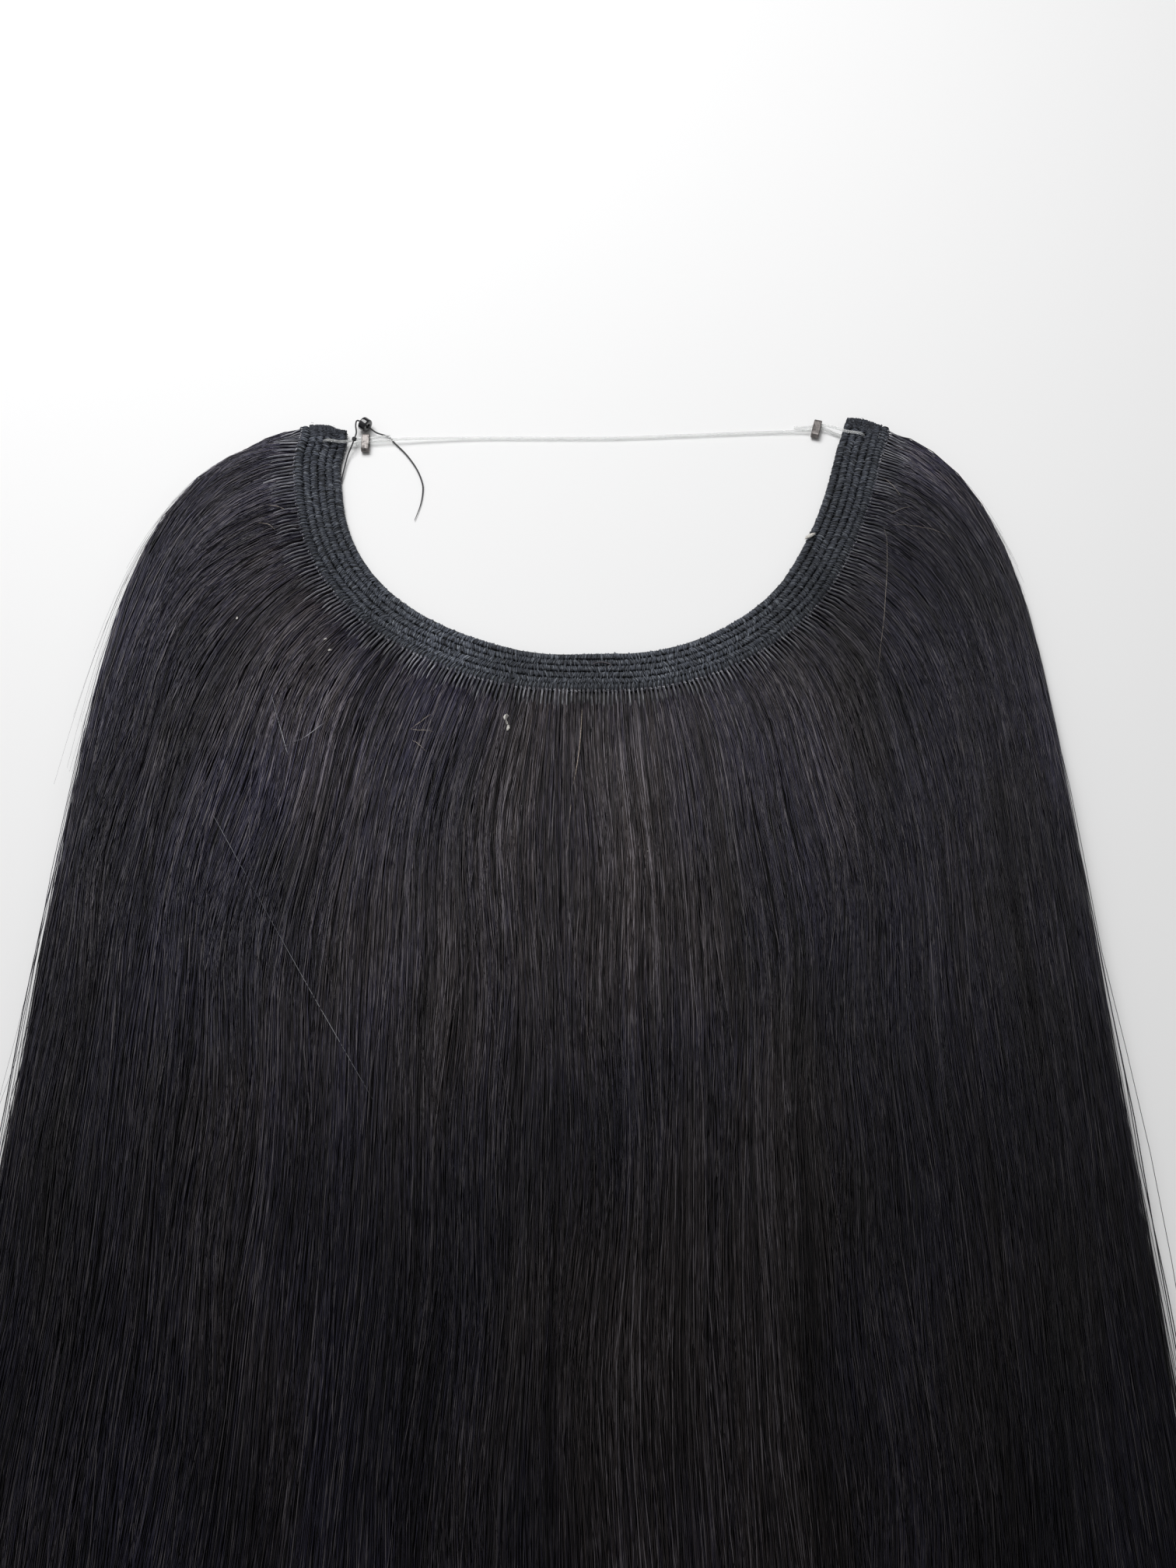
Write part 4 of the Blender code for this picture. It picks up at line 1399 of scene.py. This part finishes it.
@dataclass
class Seam:
    """The raised seam with its stitches and the comb of hair bunches that leaves it."""

    form: BandForm
    hair: HairForm
    pitch: float = TOOTH_PITCH
    strands: int = 4
    bunch_width: float = 0.00042
    reach: tuple[float, float] = (0.0048, 0.0072)
    side_reach: float = 1.20  # how much longer the teeth are at the sides
    threads: int = 3
    thread_spread: float = 0.00052
    seed: int = 23
    thread: Strand = Strand(
        STITCH, Slot.HAIR, 0.00019, (0.64, 0.15), (0.8, 1.2), (0.6, 0.95, 1.0, 1.0, 1.0, 0.95, 0.8)
    )
    loop: Strand = Strand(
        COMB, Slot.HAIR, 0.00021, (0.72, 0.20), (0.6, 1.2), (0.5, 0.9, 1.0, 0.9, 0.5), 4
    )
    tooth: Strand = Strand(
        COMB, Slot.HAIR, 0.00014, (0.58, 0.16), (0.8, 1.2), (0.9, 1.0, 1.0, 0.95, 0.85, 0.65, 0.25)
    )

    def build(self) -> None:
        """Makes the seam's strip, stitches and comb."""
        chance = np.random.default_rng(self.seed)
        self.make_strip()
        self.make_stitches(chance)
        self.make_comb(chance)

    def span(self) -> tuple[float, float]:
        """Returns where the seam starts and ends along the band."""
        left, right = (share * self.form.row_width for share in self.form.ends[self.form.rows])
        return -left, self.form.length + right

    def make_strip(self) -> None:
        """Sweeps the seam's rounded strip along the band."""
        form = self.form
        start = form.rows * form.pitch
        low, high = self.span()
        shape = bmesh.new()
        bmesh.ops.create_grid(shape, x_segments=300, y_segments=6, size=0.5)
        base = float(form.underside(start))
        for vertex in shape.verts:
            along, across = vertex.co.x + 0.5, vertex.co.y + 0.5
            distance = low + along * (high - low)
            crown = math.sin(math.pi * min(1.0, max(0.0, across)))
            height = form.seam_top - 0.0009 + 0.0008 * crown**0.6
            vertex.co = form.spots(distance, start + across * form.seam_width, height)
        walls = bmesh.ops.extrude_face_region(shape, geom=shape.faces[:])
        for part in walls["geom"]:
            if isinstance(part, bmesh.types.BMVert):
                part.co.z = base
        keep("seam_strip", mesh_of(shape, "seam_strip"), WEFT, Slot.HAIR)

    def make_stitches(self, chance: np.random.Generator) -> None:
        """Lays the seam's threads, a few to a tooth, and the loops that hold the teeth.

        Args:
            chance: Random draws.
        """
        form = self.form
        low, high = self.span()
        teeth = int((high - low) / self.pitch)
        tooth = low + self.pitch * (0.5 + np.arange(teeth) + chance.normal(0, 0.05, teeth))
        place = np.linspace(-0.5, 0.5, self.threads) * self.thread_spread
        middle = (tooth[:, None] + place[None, :]).reshape(-1)
        count = len(middle)
        middle = middle + chance.normal(0, 0.00005, count)
        across = np.linspace(-0.12, 1.20, 7)
        start = form.rows * form.pitch
        offset = start + across[None, :] * form.seam_width + np.zeros((count, 1))
        offset = offset + chance.normal(0, 0.00010, count)[:, None]
        crown = np.sin(math.pi * np.clip(across, 0.02, 0.98)) ** 0.6
        height = form.seam_top - 0.00075 + 0.00075 * crown[None, :]
        height = height + chance.normal(0, 0.00009, count)[:, None]
        lean = 0.00020 + chance.normal(0, 0.00010, count)
        distance = middle[:, None] - lean[:, None] * (across[None, :] - 0.5) * 2.0
        self.thread.draw("seam_threads", form.spots(distance, offset, height), chance)
        part = np.linspace(-0.5, 0.5, 5)
        distance = tooth[:, None] + part[None, :] * self.pitch * 0.80
        middle_line = form.width + 0.0002 + chance.normal(0, 0.00012, teeth)
        offset = middle_line[:, None] + 0.00022 * np.sin(math.pi * part)[None, :]
        hump = 0.00040 * np.cos(math.pi * part)[None, :]
        lines = form.spots(distance, offset, form.seam_top - 0.00058 + hump + 0.0 * offset)
        self.loop.draw("seam_loops", lines, chance)

    def make_comb(self, chance: np.random.Generator) -> None:
        """Draws the bunches of hair out of the seam, like the teeth of a comb.

        Args:
            chance: Random draws.
        """
        form, hair = self.form, self.hair
        low, high = self.span()
        count = int((high - low) / self.pitch)
        centre = low + self.pitch * (0.5 + np.arange(count) + chance.normal(0, 0.05, count))
        place = np.linspace(-0.5, 0.5, self.strands) * self.bunch_width
        shift = np.tile(place, count) + chance.normal(0, 0.00003, count * self.strands)
        share = (np.repeat(centre, self.strands) + shift) / form.length
        reach = np.repeat(chance.uniform(*self.reach, count), self.strands)
        reach = reach * (1.0 + self.side_reach * np.abs(2.0 * share - 1.0))
        reach = reach * chance.uniform(0.8, 1.15, len(reach))
        places = np.linspace(0.0, 1.0, 7)
        sway = np.repeat(chance.normal(0, 0.05, count), self.strands)[:, None]
        sway = sway + chance.normal(0, 0.02, (len(share), 1)) + np.zeros((1, hair.fine))
        plan = hair.paths(share, reach, places, sway)
        _, _, outward = form.place(share * form.length)
        plan[:, 0] -= outward * 0.0008
        top = hair.height(np.clip(share, 0, 1)[:, None], places * reach[:, None] / hair.length)
        blend = smooth_step(0.0, 0.35, places)[None, :]
        bulge = np.tile(1.0 - (2.0 * place / self.bunch_width) ** 2, count)[:, None]
        height = (form.seam_top - 0.0004) * (1 - blend) + (top + 0.0001 + 0.00022 * bulge) * blend
        height = height - 0.0009 * smooth_step(0.55, 1.0, places)[None, :]
        # Painted light and shade: the middle strands of each tooth are drawn lighter and the side
        # strands darker, as shade in the gaps between teeth.
        self.tooth.draw("seam_comb", raised(plan, height), chance, 0.16 * (bulge[:, 0] - 0.5))


@dataclass
class HairFall:
    """The hair: a dense streaked mass, and layers of single hairs over it."""

    form: HairForm
    columns: int = 230
    rows: int = 46
    mass_level: float = 0.80
    mass_reach: float = 0.955
    fringe: float = 0.40
    layers: int = 4
    hairs_per_layer: int = 1580
    segments: int = 17
    hair: Strand = Strand(HAIR, Slot.HAIR, 0.00015, (0.48, 0.27), (0.50, 1.25))
    stray: Strand = Strand(HAIR, Slot.HAIR, 0.00008, (0.60, 0.2))
    seed: int = 7
    clumps: int = 330
    tooth_pitch: float = TOOTH_PITCH
    grip: float = 0.80
    let_go: tuple[float, float] = (0.0062, 0.0045)  # in the middle, and more at the sides
    shared_locks: int = 16
    shared_turn: float = 0.55
    strays: int = 230
    wisps: int = 120

    def build(self) -> None:
        """Makes the mass, the layers and the stray hairs."""
        self.make_mass()
        chance = np.random.default_rng(self.seed)
        for layer in range(self.layers):
            self.make_layer(layer, chance)
        self.make_strays(chance)
        self.make_wisps(chance)

    def make_mass(self) -> None:
        """Sweeps the mass of hair from the band to its jagged tips."""
        form, band = self.form, self.form.band
        shape = bmesh.new()
        bmesh.ops.create_grid(
            shape, x_segments=self.columns, y_segments=self.rows, size=0.5, calc_uvs=True
        )
        shares = np.linspace(0.0, 1.0, self.columns + 1)
        places = np.linspace(0.0, 1.0, self.rows + 1) ** 1.35
        left, right = (share * band.row_width for share in band.ends[band.rows])
        roots = (-left + shares * (band.length + left + right)) / band.length
        reach = form.reach(shares) * self.mass_reach
        plan = form.paths(roots, reach, places, self.shared_sway(roots))
        height = form.height(shares[:, None], places[None, :]) * self.mass_level - 0.0003
        shared = np.random.default_rng(self.seed + 300)
        dips = np.abs(shared.normal(0.0, 0.00040, self.columns + 1))[:, None]
        height = height - dips * smooth_step(0.02, 0.10, places)[None, :]
        for vertex in shape.verts:
            i = round((vertex.co.x + 0.5) * self.columns)
            j = round((vertex.co.y + 0.5) * self.rows)
            vertex.co = (*plan[i, j], max(0.0004, height[i, j]))
        walls = bmesh.ops.extrude_face_region(shape, geom=shape.faces[:])
        for part in walls["geom"]:
            if isinstance(part, bmesh.types.BMVert):
                part.co.z = 0.0
        keep("hair_mass", mesh_of(shape, "hair_mass", 75.0), BED, Slot.HAIR, "hair")

    def along(self, reach: np.ndarray) -> np.ndarray:
        """Returns distances along hairs at the form's fine steps."""
        return np.linspace(0.0, 1.0, self.form.fine)[None, :] ** CROWDING * reach

    def shared_sway(self, share: np.ndarray) -> np.ndarray:
        """Draws the slow turns that neighbouring hairs share, strongest near the band.

        Args:
            share: The roots' places along the band.

        Returns:
            Turns in radians, (hairs, fine).
        """
        shared = np.random.default_rng(self.seed + 400)
        knots = np.linspace(0.0, 1.0, self.shared_locks + 1)
        size, length, phase = (
            np.interp(share, knots, shared.uniform(low, high, len(knots)))[:, None]
            for low, high in ((-self.shared_turn, self.shared_turn), (0.080, 0.105), (0.0, 0.6))
        )
        along = self.along(np.full((1, 1), self.form.length))
        fade = 0.20 + 0.80 * np.exp(-along / 0.07)
        calm = smooth_step(0.02, 0.14, share) * smooth_step(0.06, 0.50, 1.0 - share)
        return size * np.sin(2 * math.pi * (along / length + phase)) * fade * calm[:, None]

    def sway(self, share: np.ndarray, chance: np.random.Generator) -> np.ndarray:
        """Draws each hair's slow turns: its clump's, and smaller ones of its own.

        Args:
            share: The roots' places along the band.
            chance: Random draws.

        Returns:
            Turns in radians, (hairs, fine).
        """
        count = len(share)
        clump = np.minimum((share * self.clumps).astype(int), self.clumps - 1)
        along = self.along(np.full((1, 1), self.form.length))
        shared = np.random.default_rng(self.seed + 100)
        length = shared.uniform(0.07, 0.16, self.clumps)[clump][:, None]
        phase = shared.uniform(0.0, 1.0, self.clumps)[clump][:, None]
        angle = shared.normal(0.0, 0.034, self.clumps)[clump][:, None]
        bias = shared.normal(0.0, 0.006, self.clumps)[clump][:, None]
        turn = angle * np.sin(2 * math.pi * (along / length + phase)) + bias
        length = chance.uniform(0.03, 0.09, count)[:, None]
        phase = chance.uniform(0.0, 1.0, count)[:, None]
        angle = chance.normal(0.0, 0.040, count)[:, None]
        turn = turn + angle * np.sin(2 * math.pi * (along / length + phase))
        turn = turn + chance.normal(0.0, 0.017, count)[:, None] + self.shared_sway(share)
        calm = smooth_step(0.0, 0.06, share) * smooth_step(0.0, 0.06, 1.0 - share)
        return turn * (0.25 + 0.75 * calm)[:, None]

    def gather(self, plan: np.ndarray, share: np.ndarray, distance: np.ndarray) -> np.ndarray:
        """Draws hairs together at the seam, into the teeth of its comb.

        Args:
            plan: Paths in plan, changed in place.
            share: The roots' places along the band.
            distance: Distances along the hairs, (hairs, points).

        Returns:
            The paths.
        """
        band = self.form.band
        left = band.ends[band.rows][0] * band.row_width
        at = share * band.length
        tooth = (np.floor((at + left) / self.tooth_pitch) + 0.5) * self.tooth_pitch - left
        _, along, _ = band.place(at)
        nearest, more = self.let_go
        let_go = nearest + more * np.abs(2.0 * share - 1.0)[:, None]
        pull = self.grip * (tooth - at)[:, None] * (1.0 - smooth_step(0.0015, let_go, distance))
        plan += along[:, None, :] * pull[..., None]
        return plan

    def make_layer(self, layer: int, chance: np.random.Generator) -> None:
        """Lays one layer of hairs.

        Args:
            layer: The layer, from the lowest.
            chance: Random draws.
        """
        form, count = self.form, self.hairs_per_layer
        share = chance.uniform(0.0, 1.0, count)
        clump = np.minimum((share * self.clumps).astype(int), self.clumps - 1)
        reach = form.reach(share) * (1.0 - 0.05 * chance.random(count) ** 2)
        loose = form.length * chance.uniform(0.86, 0.97, count)
        reach = np.where(chance.random(count) < self.fringe, np.maximum(reach, loose), reach)
        step = np.arange(self.segments + 1) + chance.uniform(-0.4, 0.4, (count, 1))
        step = step + chance.uniform(-0.12, 0.12, (count, self.segments + 1))
        step[:, 0], step[:, -1] = 0.0, self.segments
        places = (step / self.segments) ** 1.6
        plan = form.paths(share, reach, places, self.sway(share, chance))
        distance = places * reach[:, None]
        plan = self.gather(plan, share, distance)
        part = (layer + chance.uniform(0.0, 1.0, count)) / self.layers
        level = self.mass_level + (1.0 - self.mass_level) * part**0.8
        top = form.height(share[:, None], places)
        root = 0.0013 * (1.0 - smooth_step(0.001, 0.008, distance))
        height = top * level[:, None] + 0.0004 * part[:, None] - root
        bob = chance.normal(0.0, 0.00022, count)[:, None]
        bob = bob * np.sin(distance / chance.uniform(0.006, 0.02, count)[:, None])
        height = np.maximum(height + bob * np.minimum(1.0, places * 8), 0.0003)
        taper = 1.0 - 0.75 * smooth_step(0.86, 1.0, places)
        shared = np.random.default_rng(self.seed + 200)
        tone = shared.normal(0.0, 0.07, self.clumps)[clump]
        self.hair.draw(f"hair_layer_{layer + 1}", raised(plan, height), chance, tone, taper)

    def wander(
        self, share: np.ndarray, reach: np.ndarray, turn: float, chance: np.random.Generator
    ) -> np.ndarray:
        """Draws the turns of hairs that leave the others' way.

        Args:
            share: The roots' places along the band.
            reach: The hairs' lengths.
            turn: How far they turn, in radians.
            chance: Random draws.

        Returns:
            Turns in radians, (hairs, fine).
        """
        count = len(share)
        length = chance.uniform(0.05, 0.20, count)[:, None]
        phase = chance.uniform(0.0, 1.0, count)[:, None]
        angle = chance.normal(0.0, turn, count)[:, None]
        wave = angle * np.sin(2 * math.pi * (self.along(reach[:, None]) / length + phase))
        return wave + chance.normal(0.0, turn * 0.35, count)[:, None]

    def make_strays(self, chance: np.random.Generator) -> None:
        """Lets single fine hairs wander over the others.

        Args:
            chance: Random draws.
        """
        form, count = self.form, self.strays
        share = chance.uniform(0.08, 0.92, count)
        reach = form.reach(share) * chance.uniform(0.25, 0.95, count)
        places = np.linspace(0.0, 1.0, 15) ** 1.3
        plan = form.paths(share, reach, places, self.wander(share, reach, 0.13, chance))
        part = places[None, :] * (reach / form.length)[:, None]
        height = form.height(share[:, None], part) + chance.uniform(0.0004, 0.0018, count)[:, None]
        self.stray.draw("stray_hairs", raised(plan, height), chance, taper=1.0 - 0.6 * places)

    def make_wisps(self, chance: np.random.Generator) -> None:
        """Frays the hair's two sides with short fine ends.

        Args:
            chance: Random draws.
        """
        form, count = self.form, self.wisps
        near = chance.uniform(0.0, 0.035, count)
        left = chance.random(count) < 0.8
        share = np.where(left, near, 1.0 - near * 0.5)
        reach = form.length * chance.uniform(0.06, 0.38, count) * np.where(left, 1.0, 0.5)
        places = np.linspace(0.0, 1.0, 12)
        outer = np.where(share < 0.5, -1.0, 1.0)[:, None]
        sway = outer * chance.uniform(0.0, 0.10, count)[:, None] * np.ones((1, form.fine))
        plan = form.paths(share, reach, places, sway)
        part = places[None, :] * (reach / form.length)[:, None]
        level = chance.uniform(0.2, 1.0, count)[:, None]
        height = form.height(share[:, None], part) * level + 0.0004
        radii = self.stray.radius * (1.0 - 0.7 * places) * np.ones(height.shape)
        tones = chance.uniform(0.0, 1.0, (count, 3))
        mesh = fibre_mesh("side_wisps", raised(plan, height), radii, tones)
        keep("side_wisps", mesh, HAIR, Slot.HAIR)


@dataclass
class SmallDetails:
    """Pale single hairs, specks of lint and a loose thread that lie on the extension."""

    form: HairForm
    seed: int = 31
    band_height: float = 0.0032
    # plan points in millimetres from the centre of the U
    pale_hairs: tuple = (
        ((96.5, -20.8), (99.2, -24.8), (101.4, -28.7)),
        ((97.6, -35.3), (100.9, -33.8), (104.0, -32.9)),
        ((98.0, -39.8), (109.5, -41.6), (117.3, -46.3)),
        ((94.9, -40.7), (95.3, -48.6), (92.6, -71.6), (88.9, -93.7)),
        ((-1.8, -106.3), (-2.1, -113.8), (-2.6, -120.4), (-3.5, -127.6), (-4.4, -132.2)),
        ((-5.0, -138.3), (-5.5, -143.9), (-5.9, -152.9)),
        ((-103.3, -32.3), (-100.3, -32.9), (-97.5, -33.8)),
        ((-106.0, -39.2), (-102.7, -39.8), (-100.3, -41.6)),
        ((-54.0, -113.4), (-50.6, -111.3), (-47.4, -108.4)),
        ((-54.0, -113.4), (-50.5, -114.2), (-46.7, -114.7)),
        ((-52.9, -117.1), (-50.7, -119.2), (-48.5, -121.5)),
    )
    grey_hairs: tuple = (
        ((-111.0, -140.6), (-103.1, -153.9), (-84.2, -185.3), (-70.0, -208.3), (-56.2, -230.4)),
        ((-96.4, -101.8), (-90.7, -119.4), (-88.9, -124.6)),
        ((-90.7, -119.4), (-85.4, -116.3), (-79.7, -111.1)),
    )
    loose_thread: tuple = (
        (1.0, -89.6), (2.6, -88.7), (4.6, -88.5), (6.6, -89.1), (7.0, -89.8), (4.6, -91.2)
    )
    # place, length, width and turn in degrees of each fleck on the hair
    flecks: tuple = (
        (-24.9, -109.4, 2.0, 1.2, 75.0), (-24.6, -111.1, 1.9, 0.6, 105.0),
        (-24.2, -113.0, 2.1, 0.9, 80.0), (-109.2, -75.2, 0.9, 0.5, 70.0),
        (-81.4, -82.5, 1.1, 0.4, 20.0), (-79.7, -86.3, 1.0, 0.6, 10.0),
        (17.6, -153.0, 0.7, 0.5, 30.0), (98.0, -212.5, 0.7, 0.6, 50.0),
    )
    chip: tuple = (71.4, -42.2, 4.3, 1.3, 33.0)
    chip_raise: float = 0.0004
    fleck_raise: float = 0.0006
    # what millimetres of a fleck's size are divided by: its half size, height and roughness
    fleck_shares: tuple = (2000.0, 3500.0, 9000.0)

    def build(self) -> None:
        """Makes the hairs, the thread and the flecks."""
        self.plan, self.tall = self.form.samples()
        pale = np.stack([self.lay(row) for row in self.pale_hairs])
        self.strand("pale_hairs", pale, 0.00010, BROWN, Slot.HAIR)
        grey = np.stack([self.lay(row) for row in self.grey_hairs])
        self.strand("grey_hairs", grey, 0.00008, COMB, Slot.HAIR)
        loop = self.lay(self.loose_thread)[None]
        loop[..., 2] = self.band_height + 0.0003
        self.strand("loose_thread", loop, 0.00016, HAIR, Slot.WEFT)
        self.make_flecks()

    def top(self, x: float, y: float) -> float:
        """Returns the height of the hair's upper side at a place in plan."""
        away = (self.plan[:, 0] - x) ** 2 + (self.plan[:, 1] - y) ** 2
        return float(self.tall[away.argmin()])

    def lay(self, route: tuple) -> np.ndarray:
        """Lays a line over the hair.

        Args:
            route: Its points in plan, in millimetres from the centre of the U.

        Returns:
            Twelve points on it, in the model's frame.
        """
        flat = smooth_curve(np.array(route) / MM, 8) + CENTRE[:2]
        gone = np.concatenate([[0.0], np.cumsum(np.linalg.norm(np.diff(flat, axis=0), axis=1))])
        at = np.linspace(0.0, gone[-1], 12)
        x, y = (np.interp(at, gone, flat[:, k]) for k in (0, 1))
        rise = 0.0007 * np.sin(math.pi * np.linspace(0.05, 0.95, 12)) + 0.0003
        return np.stack([x, y, [self.top(*spot) for spot in zip(x, y)] + rise], axis=-1)

    def strand(
        self, name: str, lines: np.ndarray, radius: float, finish: Finish, slot: Slot
    ) -> None:
        """Makes hairs of one finish.

        Args:
            name: The piece's name.
            lines: Middle lines.
            radius: Thickness at the middle.
            finish: Their finish.
            slot: Their slot.
        """
        count, points = lines.shape[:2]
        taper = 0.35 + 0.65 * np.sin(math.pi * np.linspace(0.0, 1.0, points)) ** 0.5
        tones = np.tile((0.86, 0.5, 0.5), (count, 1))
        mesh = fibre_mesh(name, lines, radius * np.tile(taper, (count, 1)), tones, sides=4)
        keep(name, mesh, finish, slot)

    def make_flecks(self) -> None:
        """Scatters the flecks on the hair and the white chip on the band's inner edge."""
        shape = bmesh.new()
        chance = np.random.default_rng(self.seed)
        half, flat, rough = self.fleck_shares
        for x, y, length, width, turn in (*self.flecks, self.chip):
            place = Vector((x / MM, y / MM, 0.0)) + Vector(CENTRE)
            if (x, y) == self.chip[:2]:
                place.z = self.band_height + self.chip_raise
            else:
                place.z = self.top(place.x, place.y) + self.fleck_raise
            scale = Matrix.Diagonal((length / half, width / half, width / flat, 1.0))
            spun = Matrix.Rotation(math.radians(turn), 4, "Z")
            where = Matrix.Translation(place) @ spun @ scale
            ball = bmesh.ops.create_icosphere(shape, subdivisions=2, radius=1.0, matrix=where)
            for vertex in ball["verts"]:
                vertex.co += Vector(chance.normal(0.0, width / rough, 3) * (1.0, 1.0, 0.5))
        keep("flecks", mesh_of(shape, "flecks"), LINT, Slot.HAIR)


def main() -> None:
    """Builds the scene."""
    logging.basicConfig(level=logging.INFO, format="%(name)s: %(message)s")
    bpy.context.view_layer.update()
    Studio().build()
    for name in ("crimp_left", "crimp_right"):
        dress(name, CRIMP)
    HaloWire().build()
    BeadThread().build()
    band = BandForm()
    hair = HairForm(band)
    StitchedBand(band).build()
    Seam(band, hair).build()
    HairFall(hair).build()
    SmallDetails(hair).build()


if __name__ == "__main__":
    main()
